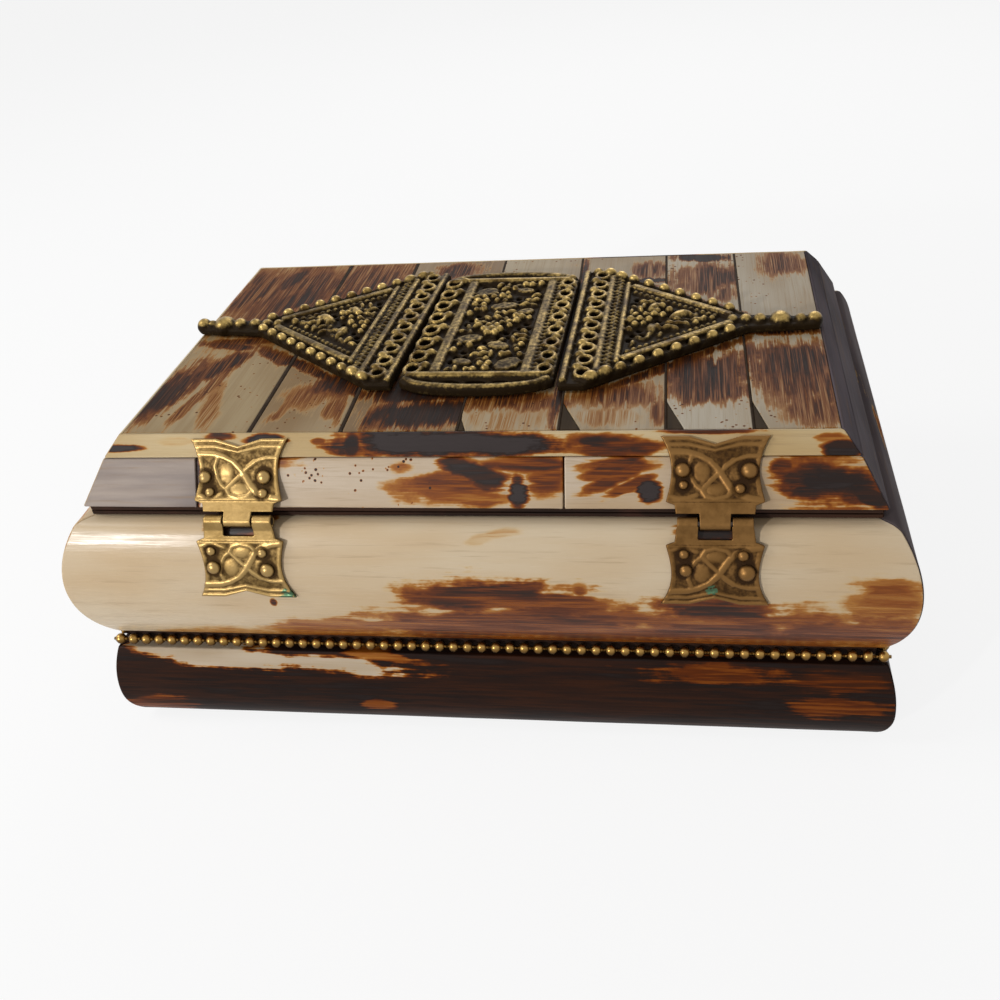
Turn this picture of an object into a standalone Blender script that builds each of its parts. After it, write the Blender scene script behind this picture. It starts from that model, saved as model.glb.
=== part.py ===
# Trinket box: a wooden box veneered with camel bone and fitted with brass.
# Metres, +Z up, on a table at Z = 0. The hinges are at the back, -Y, and the clasp is at the front, +Y.

import math

import bmesh
import bpy
from mathutils import Vector

mm = 0.001

# Overall size, over the widest part of the body.
box_length = 150.0 * mm
box_depth = 100.0 * mm

# Clearances.
fit_gap = 0.3 * mm
pin_clearance = 0.12 * mm

# Heights of the stages, from the table up.
felt_thickness = 0.6 * mm
plinth_height = 18.5 * mm
groove_height = 3.2 * mm
body_height = 25.7 * mm
seam_height = 2.3 * mm
lower_course_height = 7.4 * mm
upper_course_height = 3.4 * mm

# Insets from the widest outline.
plinth_wide_inset = 1.3 * mm
plinth_top_inset = 3.3 * mm
plinth_foot_round = 5.0 * mm
plinth_bone_inset = 7.0 * mm

# Setbacks from the body's top edge, and the runs and widths that follow inwards.
groove_setback = 0.8 * mm
rim_setback = 2.3 * mm
rim_width = 3.9 * mm
lid_foot_setback = 1.5 * mm
lower_course_run = 4.3 * mm
upper_course_run = 2.8 * mm
lid_rail_width = 7.2 * mm

# The plinth and body mouldings.
plinth_wide_height = 8.0 * mm
bulge_radius = 21.5 * mm
bulge_share = 0.498
body_bone_thickness = 2.4 * mm
body_edge_drop = 0.8 * mm
body_edge_ledge = 1.6 * mm

# The lid.
rim_lip = 0.65 * mm
lid_bone_run = 2.3 * mm
arris_land = 0.5 * mm
slip_thickness = 2.2 * mm
lid_panel_thickness = 2.4 * mm
inlay_length = 8.7 * mm
inlay_widths = (3.4 * mm, 2.7 * mm, 2.0 * mm)
inlaid_joints = (4, 5, 6)

# Joints between the pieces of bone, as shares of the half length. Those of the top lean a little, so each
# has its place at the hinged edge and then at the clasp's edge.
slip_joint_shares = ((-0.622, -0.647), (-0.353, -0.392), (-0.021, -0.060), (0.261, 0.224), (0.550, 0.524), (0.782, 0.761))
course_joint_shares = (-0.633, 0.227)

# Velvet linings.
lining_thickness = 0.9 * mm
lining_drop = 1.3 * mm

# The beaded brass strip in the groove.
bead_radius = 0.95 * mm
bead_link_radius = 0.38 * mm
bead_pitch = 2.65 * mm
bead_sides = 6

# Stamped hinges and clasp.
sheet_thickness = 0.45 * mm
pin_radius = 0.5 * mm
pin_sides = 12
hinge_barrel_proud = 0.5 * mm
hinge_barrel_rise = 1.0 * mm
barrel_half_length = 6.1 * mm
centre_knuckle_half = 2.45 * mm
knuckle_gap = 0.3 * mm
shoulder_rise = 1.5 * mm
window_depth = 1.7 * mm
leaf_neck_end = 3.9 * mm
leaf_ear_start = 4.4 * mm
leaf_waist_start = 8.5 * mm
leaf_length = 14.2 * mm
leaf_ear_half = 7.9 * mm
leaf_waist_half = 7.05 * mm
leaf_end_half = 8.8 * mm
leaf_notch = 1.0 * mm
lid_leaf_landing = 5.0 * mm
hinge_end_insets = {"left": 35.5 * mm, "right": 33.3 * mm}
roll_wrap = math.radians(280)
roll_steps = 9

# The clasp at the front. Its barrel stands proud of the sheets, so that the hasp can be thrown right back.
clasp_barrel_proud = 1.7 * mm
clasp_barrel_rise = 1.6 * mm
hasp_length = 10.4 * mm
hasp_tip_half = 3.6 * mm
slot_half_width = 1.2 * mm
slot_start = 3.4 * mm
slot_end = 7.6 * mm
hasp_rest_lean = math.radians(12.1)
staple_wire_radius = 0.55 * mm
staple_height = 2.2 * mm
staple_reach = 2.4 * mm
staple_root = 4.8 * mm

# The cast brass ornament on the lid, three pieces side by side.
casting_plate = 1.0 * mm
casting_rise = 2.5 * mm
centre_half_width = 14.5 * mm
centre_half_depth = 25.8 * mm
centre_end_bow = 3.0 * mm
side_casting_start = 15.4 * mm
side_casting_length = 46.6 * mm
side_half_depth = 24.6 * mm
side_neck_half = 2.3 * mm
casting_bead_radius = 1.45 * mm
casting_bead_pitch = 4.8 * mm
casting_bar_width = 1.4 * mm
casting_places = {"left": 0.4 * mm, "centre": -0.6 * mm, "right": 0.3 * mm}
casting_turns = {"left": math.radians(-2.2), "centre": math.radians(-1.0), "right": math.radians(-0.8)}

# Looks: colour, roughness, metallic.
bone_look = ((0.72, 0.62, 0.46), 0.32, 0.0)
dyed_bone_look = ((0.16, 0.08, 0.05), 0.35, 0.0)
horn_look = ((0.09, 0.08, 0.05), 0.4, 0.0)
wood_look = ((0.10, 0.06, 0.045), 0.6, 0.0)
velvet_look = ((0.26, 0.02, 0.03), 0.95, 0.0)
brass_look = ((0.55, 0.42, 0.16), 0.3, 1.0)
old_brass_look = ((0.33, 0.26, 0.11), 0.4, 1.0)
steel_look = ((0.45, 0.44, 0.42), 0.35, 1.0)

# Levels and lines that follow from the sizes above.
plinth_top = plinth_height
body_bottom = plinth_top + groove_height
body_top = body_bottom + body_height
bulge_height = body_bottom + body_height * bulge_share
body_edge_inset = bulge_radius - math.sqrt(bulge_radius ** 2 - (body_top - bulge_height) ** 2)
lid_bone_bottom = body_top + seam_height
course_level = lid_bone_bottom + lower_course_height
lid_top = course_level + upper_course_height
rim_top = body_top + fit_gap + rim_lip
groove_inset = body_edge_inset + groove_setback
rim_inset = body_edge_inset + rim_setback
wall_inner_inset = rim_inset + rim_width
lid_foot_inset = body_edge_inset + lid_foot_setback
course_inset = lid_foot_inset + lower_course_run
lid_top_inset = course_inset + upper_course_run
lid_rail_inner_inset = lid_foot_inset + lid_rail_width
lid_foot = rim_top + fit_gap
lid_lip_top = lid_bone_bottom - fit_gap
slip_bottom = lid_top - slip_thickness
panel_top = slip_bottom - fit_gap
panel_bottom = panel_top - lid_panel_thickness
rail_top = panel_bottom - fit_gap
body_edge = box_depth / 2 - body_edge_inset
hinge_barrel = Vector((body_edge + hinge_barrel_proud, body_top + hinge_barrel_rise))
clasp_barrel = Vector((body_edge + clasp_barrel_proud, body_top + clasp_barrel_rise))
roll_radius = pin_radius + pin_clearance + sheet_thickness / 2
leaf_offset = fit_gap + sheet_thickness / 2
casting_base = lid_top + fit_gap
mitre_gap = fit_gap / math.sqrt(2)

# Each side: the direction along it, the direction out of it, and its half length and half distance.
sides = {
    "back": (Vector((1, 0, 0)), Vector((0, -1, 0)), box_length / 2, box_depth / 2),
    "front": (Vector((-1, 0, 0)), Vector((0, 1, 0)), box_length / 2, box_depth / 2),
    "left": (Vector((0, -1, 0)), Vector((-1, 0, 0)), box_depth / 2, box_length / 2),
    "right": (Vector((0, 1, 0)), Vector((1, 0, 0)), box_depth / 2, box_length / 2),
}


def clear_scene():
    for item in list(bpy.data.objects):
        bpy.data.objects.remove(item, do_unlink=True)


def dress(item, look):
    colour, roughness, metallic = look
    finish = bpy.data.materials.new(item.name + "_finish")
    finish.use_nodes = True
    shader = finish.node_tree.nodes["Principled BSDF"]
    shader.inputs["Base Color"].default_value = (*colour, 1.0)
    shader.inputs["Roughness"].default_value = roughness
    shader.inputs["Metallic"].default_value = metallic
    finish.diffuse_color = (*colour, 1.0)
    item.data.materials.append(finish)


def add_object(name, shape, look, origin=Vector((0, 0, 0)), smooth=None):
    """Turn a bmesh into a named object whose origin is at the given place."""
    bmesh.ops.recalc_face_normals(shape, faces=shape.faces)
    bmesh.ops.translate(shape, verts=shape.verts, vec=-origin)
    mesh = bpy.data.meshes.new(name)
    shape.to_mesh(mesh)
    shape.free()
    if smooth is not None:
        mesh.shade_smooth()
        mesh.set_sharp_from_angle(angle=smooth)
    item = bpy.data.objects.new(name, mesh)
    item.location = origin
    bpy.context.collection.objects.link(item)
    dress(item, look)
    return item


def add_loft(shape, rings):
    """Join closed rings of points with quads and cap both ends."""
    made = [[shape.verts.new(point) for point in ring] for ring in rings]
    count = len(made[0])
    for lower, upper in zip(made, made[1:]):
        for i in range(count):
            j = (i + 1) % count
            shape.faces.new((lower[i], lower[j], upper[j], upper[i]))
    shape.faces.new(made[0][::-1])
    shape.faces.new(made[-1])


# Profiles across a side, as (inset, height) points.

def bulge_inset(height, thickness=0.0):
    """Inset of the body's bulge, or of a surface that lies a thickness under it."""
    radius = bulge_radius - thickness
    return bulge_radius - math.sqrt(radius ** 2 - (height - bulge_height) ** 2)


def heights(low, high, steps):
    return [low + (high - low) * i / steps for i in range(steps + 1)]


def body_bone_outline():
    """A bulging strip of bone of even thickness, with its top edge rounded over into a ledge."""
    outer = [(bulge_inset(z), z) for z in heights(body_bottom, body_top - body_edge_drop, 12)]
    top_inset = outer[-1][0] + body_edge_ledge
    outer.append((outer[-1][0] + body_edge_ledge * 0.45, body_top - body_edge_drop * 0.3))
    outer.append((top_inset, body_top))
    inner = [(bulge_inset(z, body_bone_thickness), z) for z in heights(body_bottom, body_top, 8)]
    inner[-1] = (max(inner[-1][0], top_inset + arris_land), body_top)
    return outer + inner[::-1]


def wall_outline():
    """A wooden wall shaped to back the bone, with a lip under the bone and a lip over it."""
    lip_top = body_bottom - fit_gap
    backing = body_bone_thickness + fit_gap
    curve = [(bulge_inset(z, backing), z) for z in heights(lip_top, rim_top - rim_lip, 8)]
    return (
        [(groove_inset, plinth_top + fit_gap), (groove_inset, lip_top)]
        + curve
        + [(rim_inset, rim_top - rim_lip), (rim_inset, rim_top)]
        + [(wall_inner_inset, rim_top), (wall_inner_inset, plinth_top + fit_gap)]
    )


def plinth_bone_outline():
    """A bullnose strip: an arc above its widest line, and a quarter ellipse tucked under below it."""
    rise = plinth_top - plinth_wide_height
    drop = plinth_top_inset - plinth_wide_inset
    radius = (rise ** 2 + drop ** 2) / (2 * drop)
    foot = fit_gap
    outline = []
    for step in range(7):
        t = math.sin(math.radians(90 - step * 15))
        z = plinth_wide_height - (plinth_wide_height - foot) * t
        outline.append((plinth_wide_inset + plinth_foot_round * (1 - math.sqrt(1 - t * t)), z))
    for z in heights(plinth_wide_height, plinth_top, 6)[1:]:
        outline.append((plinth_wide_inset + radius - math.sqrt(radius ** 2 - (z - plinth_wide_height) ** 2), z))
    return outline + [(plinth_bone_inset, plinth_top), (plinth_bone_inset, foot)]


def lid_face_inset(height):
    """Inset of the lid's sloping face, which is a little less steep above the joint of its courses."""
    if height <= course_level:
        share = (height - lid_bone_bottom) / lower_course_height
        return lid_foot_inset + (course_inset - lid_foot_inset) * share
    share = (height - course_level) / upper_course_height
    return course_inset + (lid_top_inset - course_inset) * share


def lower_course_outline():
    levels = (lid_bone_bottom, course_level)
    outer = [(lid_face_inset(z), z) for z in levels]
    inner = [(lid_face_inset(z) + lid_bone_run, z) for z in reversed(levels)]
    return outer + inner


def upper_course_outline():
    foot = course_level + fit_gap
    land = lid_top_inset + arris_land
    return [
        (lid_face_inset(foot), foot),
        (lid_top_inset, lid_top),
        (land, lid_top),
        (land, slip_bottom),
        (min(lid_face_inset(foot) + lid_bone_run, land), foot),
    ]


def lid_rail_outline():
    backing = lid_bone_run + fit_gap
    return [
        (rim_inset, lid_foot),
        (rim_inset, lid_lip_top),
        (lid_face_inset(lid_bone_bottom) + backing, lid_lip_top),
        (lid_face_inset(rail_top) + backing, rail_top),
        (lid_rail_inner_inset, rail_top),
        (lid_rail_inner_inset, lid_foot),
    ]


# Wooden and bone pieces.

def moulding(name, side, outline, look, start=None, end=None, smooth=None):
    """A strip along one side. Its ends are mitred, unless they are cut square at a place along the side."""
    along, out, half_length, half_out = sides[side]
    rings = []
    for square, sign in ((start, -1), (end, 1)):
        ring = []
        for inset, height in outline:
            place = sign * (half_length - inset - mitre_gap) if square is None else square
            ring.append(along * place + out * (half_out - inset) + Vector((0, 0, height)))
        rings.append(ring)
    shape = bmesh.new()
    add_loft(shape, rings)
    return add_object(name, shape, look, smooth=smooth)


def rectangle(inset, height):
    x = box_length / 2 - inset
    y = box_depth / 2 - inset
    return [Vector((sx * x, sy * y, height)) for sx, sy in ((-1, -1), (1, -1), (1, 1), (-1, 1))]


def board(name, levels, look):
    """A rectangular board, from its (inset, height) levels, bottom first."""
    shape = bmesh.new()
    add_loft(shape, [rectangle(inset, height) for inset, height in levels])
    return add_object(name, shape, look)


def lining_band(name, outer_inset, bottom, top, look):
    """One velvet band round the inside of the walls."""
    inner_inset = outer_inset + lining_thickness
    loops = [rectangle(outer_inset, bottom), rectangle(outer_inset, top),
             rectangle(inner_inset, top), rectangle(inner_inset, bottom)]
    shape = bmesh.new()
    made = [[shape.verts.new(point) for point in loop] for loop in loops]
    for first, second in zip(made, made[1:] + made[:1]):
        for i in range(4):
            j = (i + 1) % 4
            shape.faces.new((first[i], first[j], second[j], second[i]))
    return add_object(name, shape, look)


def make_base():
    felt_inset = plinth_bone_inset + fit_gap
    board("underside_felt", [(felt_inset, 0.0), (felt_inset, felt_thickness)], velvet_look)
    board("plinth_board", [(felt_inset, felt_thickness + fit_gap), (felt_inset, plinth_top)], wood_look)
    for side in sides:
        moulding("plinth_bone_" + side, side, plinth_bone_outline(), dyed_bone_look, smooth=0.6)
        moulding("wall_" + side, side, wall_outline(), wood_look, smooth=0.6)
        moulding("body_bone_" + side, side, body_bone_outline(), bone_look, smooth=0.6)
    lining_inset = wall_inner_inset + fit_gap
    floor = plinth_top + fit_gap
    floor_top = floor + lining_thickness
    board("floor_lining", [(lining_inset, floor), (lining_inset, floor_top)], velvet_look)
    lining_band("wall_lining", lining_inset, floor_top + fit_gap, rim_top - lining_drop, velvet_look)


def make_lid_bone():
    for side in ("left", "right", "front"):
        moulding("lid_lower_" + side, side, lower_course_outline(), bone_look)
    places = (None,) + tuple(share * box_length / 2 for share in course_joint_shares) + (None,)
    for number, (start, end) in enumerate(zip(places, places[1:]), 1):
        low = start if start is None else start + fit_gap / 2
        high = end if end is None else end - fit_gap / 2
        moulding("lid_lower_back_%d" % number, "back", lower_course_outline(), bone_look, low, high)
    for side in sides:
        moulding("lid_upper_" + side, side, upper_course_outline(), bone_look)


def make_slips():
    """Bone slips laid front to back over the lid, with horn wedges let into some joints at the hinged edge."""
    edge = lid_top_inset + arris_land + fit_gap
    reach = box_depth / 2 - edge
    limit = box_length / 2 - edge
    joints = [(-limit, -limit)] + [(near * limit, far * limit) for near, far in slip_joint_shares] + [(limit, limit)]

    def joint_at(number, y):
        near, far = joints[number]
        return near + (far - near) * (y + reach) / (2 * reach)

    for number in range(len(joints) - 1):
        left = fit_gap / 2 if number else 0.0
        right = fit_gap / 2 if number < len(slip_joint_shares) else 0.0
        outline = [(joint_at(number, reach) + left, reach), (joint_at(number, -reach) + left, -reach)]
        if number in inlaid_joints:
            width = inlay_widths[inlaid_joints.index(number)]
            outline[-1:] = [(joint_at(number, inlay_length - reach) + left, inlay_length - reach),
                            (joint_at(number, -reach) + left + width, -reach)]
        outline += [(joint_at(number + 1, -reach) - right, -reach), (joint_at(number + 1, reach) - right, reach)]
        shape = bmesh.new()
        add_loft(shape, [[Vector((x, y, z)) for x, y in outline] for z in (slip_bottom, lid_top)])
        add_object("top_slip_%d" % (number + 1), shape, bone_look)
    for number, (joint, full_width) in enumerate(zip(inlaid_joints, inlay_widths), 1):
        length = inlay_length * (1 - 2 * fit_gap / full_width)
        width = full_width * length / inlay_length - fit_gap
        left = fit_gap / 2
        corners = [(joint_at(joint, length - reach) + left, length - reach), (joint_at(joint, -reach) + left, -reach),
                   (joint_at(joint, -reach) + left + width, -reach)]
        shape = bmesh.new()
        add_loft(shape, [[Vector((x, y, z)) for x, y in corners] for z in (slip_bottom, lid_top)])
        add_object("horn_wedge_%d" % number, shape, horn_look)


def make_lid_frame():
    for side in sides:
        moulding("lid_rail_" + side, side, lid_rail_outline(), wood_look)
    backing = lid_bone_run + fit_gap
    low = lid_face_inset(panel_bottom) + backing
    high = max(lid_face_inset(panel_top) + lid_bone_run, lid_top_inset + arris_land) + fit_gap
    board("lid_panel", [(low, panel_bottom), (high, panel_top)], wood_look)
    inset = lid_rail_inner_inset + fit_gap
    board("lid_lining", [(inset, rail_top - lining_thickness), (inset, rail_top)], velvet_look)


# Turned shapes and the beaded strips.

def add_turned(shape, start, direction, rings, facets, floor=None):
    """Turn (distance, radius) rings about a level line. Below the floor height the shape is cut flat."""
    across = Vector((-direction.y, direction.x, 0))
    loops = []
    for distance, radius in rings:
        loop = []
        for i in range(facets):
            turn = 2 * math.pi * (i + 0.5) / facets
            point = start + direction * distance + across * (radius * math.cos(turn))
            point.z += radius * math.sin(turn)
            if floor is not None:
                point.z = max(point.z, floor)
            loop.append(point)
        loops.append(loop)
    add_loft(shape, loops)


def bead_rings(count, pitch, radius, link_radius):
    """A row of beads centred on zero: a crown at each bead and a neck on each side of it."""
    first = -(count - 1) / 2 * pitch
    rings = [(first - radius, link_radius)]
    for bead in range(count):
        centre = first + bead * pitch
        neck = pitch / 2 if bead < count - 1 else radius
        rings += [(centre, radius), (centre + neck, link_radius)]
    return rings


def make_bead_strips():
    strip_inset = groove_inset - fit_gap - bead_radius
    level = plinth_top + groove_height / 2
    for side, (along, out, half_length, half_out) in sides.items():
        run = 2 * (half_length - strip_inset + bead_radius)
        if side in ("left", "right"):
            run -= 4 * bead_radius + 2 * fit_gap
        count = int((run - 2 * bead_radius) / bead_pitch) + 1
        start = out * (half_out - strip_inset) + Vector((0, 0, level))
        shape = bmesh.new()
        rings = bead_rings(count, bead_pitch, bead_radius, bead_link_radius)
        add_turned(shape, start, along, rings, bead_sides)
        add_object("bead_strip_" + side, shape, brass_look, smooth=0.9)


# Stamped sheet: hinge leaves, the clasp's leaf and its hasp. Their lines lie in the plane across a side,
# as (distance out from the box's middle, height), and start at the barrel, where distance along them is zero.
# A sheet leaves its barrel on the barrel's outer face (face 1) or on its inner face (face -1).

def direction(turn):
    return Vector((math.cos(turn), math.sin(turn)))


def roll_point(barrel, face, turn, distance, way):
    """The rolled knuckle of a sheet that goes up (way 1) or down (way -1) from it, at a distance below zero."""
    normal = direction(turn + way * face * distance / roll_radius)
    return barrel + normal * (face * roll_radius), normal


def on_slope(height):
    """Middle of a sheet that lies on the lid's slope, with its direction up the slope and its normal."""
    low, high = (course_level + fit_gap, lid_top) if height > course_level else (lid_bone_bottom, course_level)
    run = Vector((lid_face_inset(low) - lid_face_inset(high), high - low)).normalized()
    normal = Vector((run.y, -run.x))
    return Vector((box_depth / 2 - lid_face_inset(height), height)) + normal * leaf_offset, run, normal


def lid_leaf_line(barrel, face):
    """Up from the barrel in a straight neck, then flat on the two courses of the lid's slope."""
    landing, lower_run, lower_normal = on_slope(lid_bone_bottom + lid_leaf_landing)
    corner = on_slope(course_level)[0]
    upper_run, upper_normal = on_slope(lid_top)[1:]
    to_barrel = barrel - landing
    neck = -direction(math.atan2(to_barrel.y, to_barrel.x) + face * math.asin(roll_radius / to_barrel.length))
    normal = Vector((neck.y, -neck.x))
    foot = barrel + normal * (face * roll_radius)
    neck_length = (landing - foot).length
    lower_end = neck_length + (corner - landing).length

    def line(distance):
        if distance < 0:
            return roll_point(barrel, face, math.atan2(normal.y, normal.x), distance, 1)
        if distance <= neck_length:
            return foot + neck * distance, normal
        if distance <= lower_end:
            return landing + lower_run * (distance - neck_length), lower_normal
        return corner + upper_run * (distance - lower_end), upper_normal

    return line


def body_tangent(barrel, face):
    """The straight line from the barrel to the body's bulge: its foot, its landing and the turn of its normal."""
    middle = Vector((box_depth / 2 - bulge_radius, bulge_height))
    to_barrel = barrel - middle
    reach = bulge_radius + leaf_offset
    turn = math.atan2(to_barrel.y, to_barrel.x) - math.acos((reach - face * roll_radius) / to_barrel.length)
    return barrel + direction(turn) * (face * roll_radius), middle + direction(turn) * reach, turn


def base_leaf_line(barrel, face):
    """Down from the barrel in a straight neck, then round the body's bulge."""
    foot, landing, turn = body_tangent(barrel, face)
    neck_length = (landing - foot).length
    reach = bulge_radius + leaf_offset
    middle = landing - direction(turn) * reach

    def line(distance):
        if distance < 0:
            return roll_point(barrel, face, turn, distance, -1)
        if distance <= neck_length:
            return foot.lerp(landing, distance / neck_length), direction(turn)
        normal = direction(turn - (distance - neck_length) / reach)
        return middle + normal * reach, normal

    return line


def hasp_line(distance):
    """Straight down from the inner face of the clasp's barrel, as it lies when it is shut."""
    foot, _, turn = body_tangent(clasp_barrel, -1)
    if distance < 0:
        return roll_point(clasp_barrel, -1, turn, distance, -1)
    return foot + direction(turn - math.pi / 2) * distance, direction(turn)


def hasp_rest_turn():
    """How far the shut hasp turns to lie back over the lid, leaning a little away from the slope's lower course."""
    turn = body_tangent(clasp_barrel, -1)[2]
    run = on_slope(course_level)[1]
    return math.atan2(run.y, run.x) + hasp_rest_lean - (turn - math.pi / 2)


def leaf_half_width(distance):
    """A butterfly outline: a narrow neck, ears, a waist and wide ends."""
    if distance <= leaf_neck_end:
        return barrel_half_length + max(distance, 0.0) * 0.12
    if distance <= leaf_ear_start:
        return leaf_ear_half
    if distance <= leaf_waist_start:
        share = (distance - leaf_ear_start) / (leaf_waist_start - leaf_ear_start)
        return leaf_ear_half + (leaf_waist_half - leaf_ear_half) * math.sin(share * math.pi / 2)
    share = (distance - leaf_waist_start) / (leaf_length - leaf_waist_start)
    return leaf_waist_half + (leaf_end_half - leaf_waist_half) * share ** 2


def hasp_half_width(distance):
    """Straight sides that draw in to a rounded tip."""
    shoulder = slot_start
    if distance <= shoulder:
        return barrel_half_length
    share = (distance - shoulder) / (hasp_length - shoulder)
    return hasp_tip_half + (barrel_half_length - hasp_tip_half) * math.sqrt(max(0.0, 1 - share ** 3))


def stamped_sheet(name, side, centre, barrel, line, half_width, inner, rows, has_metal, notch, look, turned=0.0):
    """A sheet made of cells between columns and rows, where has_metal says which cells are there."""
    along, out, _, _ = sides[side]
    knuckle = centre_knuckle_half
    shape = bmesh.new()
    grid = {}
    last = rows[-1]

    def corner(column, row):
        if (column, row) not in grid:
            distance = rows[row]
            edge = half_width(distance)
            places = [-edge, -knuckle - knuckle_gap, -knuckle, *inner, knuckle, knuckle + knuckle_gap, edge]
            across = places[column]
            if notch and distance > last * 0.6:
                depth = notch * max(0.0, 1 - abs(across) / (knuckle * 1.5))
                distance -= depth * (distance - last * 0.6) / (last * 0.4)
            place, normal = line(distance)
            pair = []
            for sign in (1, -1):
                flat = place + normal * (sign * sheet_thickness / 2)
                pair.append(shape.verts.new(along * (across + centre) + out * flat.x + Vector((0, 0, flat.y))))
            grid[(column, row)] = pair
        return grid[(column, row)]

    column_count = 5 + len(inner)
    cells = {(c, r) for c in range(column_count) for r in range(len(rows) - 1) if has_metal(c, r)}
    for column, row in cells:
        loop = [(column, row), (column + 1, row), (column + 1, row + 1), (column, row + 1)]
        shape.faces.new([corner(*key)[0] for key in loop])
        shape.faces.new([corner(*key)[1] for key in reversed(loop)])
        beside = [(column, row - 1), (column + 1, row), (column, row + 1), (column - 1, row)]
        for i, cell in enumerate(beside):
            if cell not in cells:
                a, b = corner(*loop[i]), corner(*loop[(i + 1) % 4])
                shape.faces.new((a[0], a[1], b[1], b[0]))
    origin = along * centre + out * barrel.x + Vector((0, 0, barrel.y))
    item = add_object(name, shape, look, origin=origin, smooth=0.7)
    item.rotation_euler.x = turned


def roll_rows():
    return [-roll_wrap * roll_radius * (1 - i / roll_steps) for i in range(roll_steps)]


def leaf_rows(first):
    end = leaf_length - leaf_waist_start
    rows = roll_rows() + [0.0, first, leaf_neck_end, leaf_ear_start, (leaf_ear_start + leaf_waist_start) / 2]
    return rows + [leaf_waist_start, leaf_waist_start + end * 0.37, leaf_waist_start + end * 0.68, leaf_length]


def make_lid_leaf(name, side, centre, barrel, face, look):
    rows = leaf_rows(shoulder_rise)
    neck = rows.index(shoulder_rise)
    stamped_sheet(name, side, centre, barrel, lid_leaf_line(barrel, face), leaf_half_width, (0.0,), rows,
                  lambda c, r: r >= neck or c in (2, 3), leaf_notch, look)


def make_base_leaf(name, side, centre, barrel, face, look):
    rows = leaf_rows(window_depth)
    neck = rows.index(window_depth)
    stamped_sheet(name, side, centre, barrel, base_leaf_line(barrel, face), leaf_half_width, (0.0,), rows,
                  lambda c, r: r >= neck or c in (0, 5), leaf_notch, look)


def make_pin(name, side, centre, barrel):
    along, out, _, _ = sides[side]
    start = along * centre + out * barrel.x + Vector((0, 0, barrel.y))
    shape = bmesh.new()
    add_turned(shape, start, along, [(-barrel_half_length, pin_radius), (barrel_half_length, pin_radius)], pin_sides)
    add_object(name, shape, steel_look, smooth=0.7)


def make_hinges():
    for word, sign in (("left", -1), ("right", 1)):
        centre = sign * (box_length / 2 - hinge_end_insets[word])
        look = brass_look if word == "left" else old_brass_look
        make_lid_leaf("hinge_%s_lid_leaf" % word, "back", centre, hinge_barrel, 1, look)
        make_base_leaf("hinge_%s_base_leaf" % word, "back", centre, hinge_barrel, 1, look)
        make_pin("hinge_%s_pin" % word, "back", centre, hinge_barrel)


def drill(item, cutter):
    cut = item.modifiers.new("staple_holes", "BOOLEAN")
    cut.operation = "DIFFERENCE"
    cut.object = cutter


def add_wire(shape, points, radius, facets):
    """A round wire through points that lie in the Y-Z plane."""
    loops = []
    for i, point in enumerate(points):
        ahead = points[min(i + 1, len(points) - 1)] - points[max(i - 1, 0)]
        normal = Vector((0, -ahead.z, ahead.y)).normalized()
        loop = []
        for j in range(facets):
            turn = 2 * math.pi * j / facets
            loop.append(point + normal * (radius * math.cos(turn)) + Vector((radius * math.sin(turn), 0, 0)))
        loops.append(loop)
    add_loft(shape, loops)


def make_staple():
    """A wire loop that stands square out of the hasp's slot, with its two legs driven into the body."""
    middle, normal = hasp_line((slot_start + slot_end) / 2)
    normal = Vector((0, *normal))
    middle = Vector((0, *middle))
    up = Vector((0, -normal.z, normal.y))
    bend = staple_height / 2
    root = -staple_root
    points = [middle + up * bend + normal * root]
    for step in range(7):
        turn = math.radians(90 - step * 30)
        points.append(middle + normal * (staple_reach - bend + bend * math.cos(turn)) + up * (bend * math.sin(turn)))
    points.append(middle - up * bend + normal * root)
    shape = bmesh.new()
    add_wire(shape, points, staple_wire_radius, 8)
    add_object("staple", shape, brass_look, smooth=0.7)
    holes = bmesh.new()
    for sign in (-1, 1):
        ends = [middle + up * (sign * bend) + normal * reach for reach in (root - fit_gap, staple_root)]
        add_wire(holes, ends, staple_wire_radius + fit_gap, 8)
    cutter = add_object("staple_drill", holes, brass_look)
    cutter.hide_render = True
    cutter.display_type = "WIRE"
    drill(bpy.data.objects["body_bone_front"], cutter)
    drill(bpy.data.objects["wall_front"], cutter)


def make_clasp():
    make_lid_leaf("clasp_lid_leaf", "front", 0.0, clasp_barrel, -1, brass_look)
    make_pin("clasp_pin", "front", 0.0, clasp_barrel)
    rows = roll_rows() + [0.0, window_depth, slot_start, (slot_start + slot_end) / 2, slot_end]
    rows += [(slot_end + hasp_length) / 2, hasp_length - 0.5 * mm, hasp_length]
    window = rows.index(window_depth)
    slot = (rows.index(slot_start), rows.index(slot_end))

    def has_metal(column, row):
        if row < window:
            return column in (0, 6)
        return not (column == 3 and slot[0] <= row < slot[1])

    stamped_sheet("hasp", "front", 0.0, clasp_barrel, hasp_line, hasp_half_width,
                  (-slot_half_width, slot_half_width), rows, has_metal, 0.0, brass_look, turned=hasp_rest_turn())
    make_staple()


# The cast ornament. Each casting is a pierced plate with bars, rows of beads and leaves standing on it.

def ellipse(x, y, radius_x, radius_y, facets=8, turn=0.0):
    points = []
    for i in range(facets):
        angle = 2 * math.pi * (i + 0.5) / facets
        dx, dy = radius_x * math.cos(angle), radius_y * math.sin(angle)
        points.append((x + dx * math.cos(turn) - dy * math.sin(turn), y + dx * math.sin(turn) + dy * math.cos(turn)))
    return points


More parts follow.
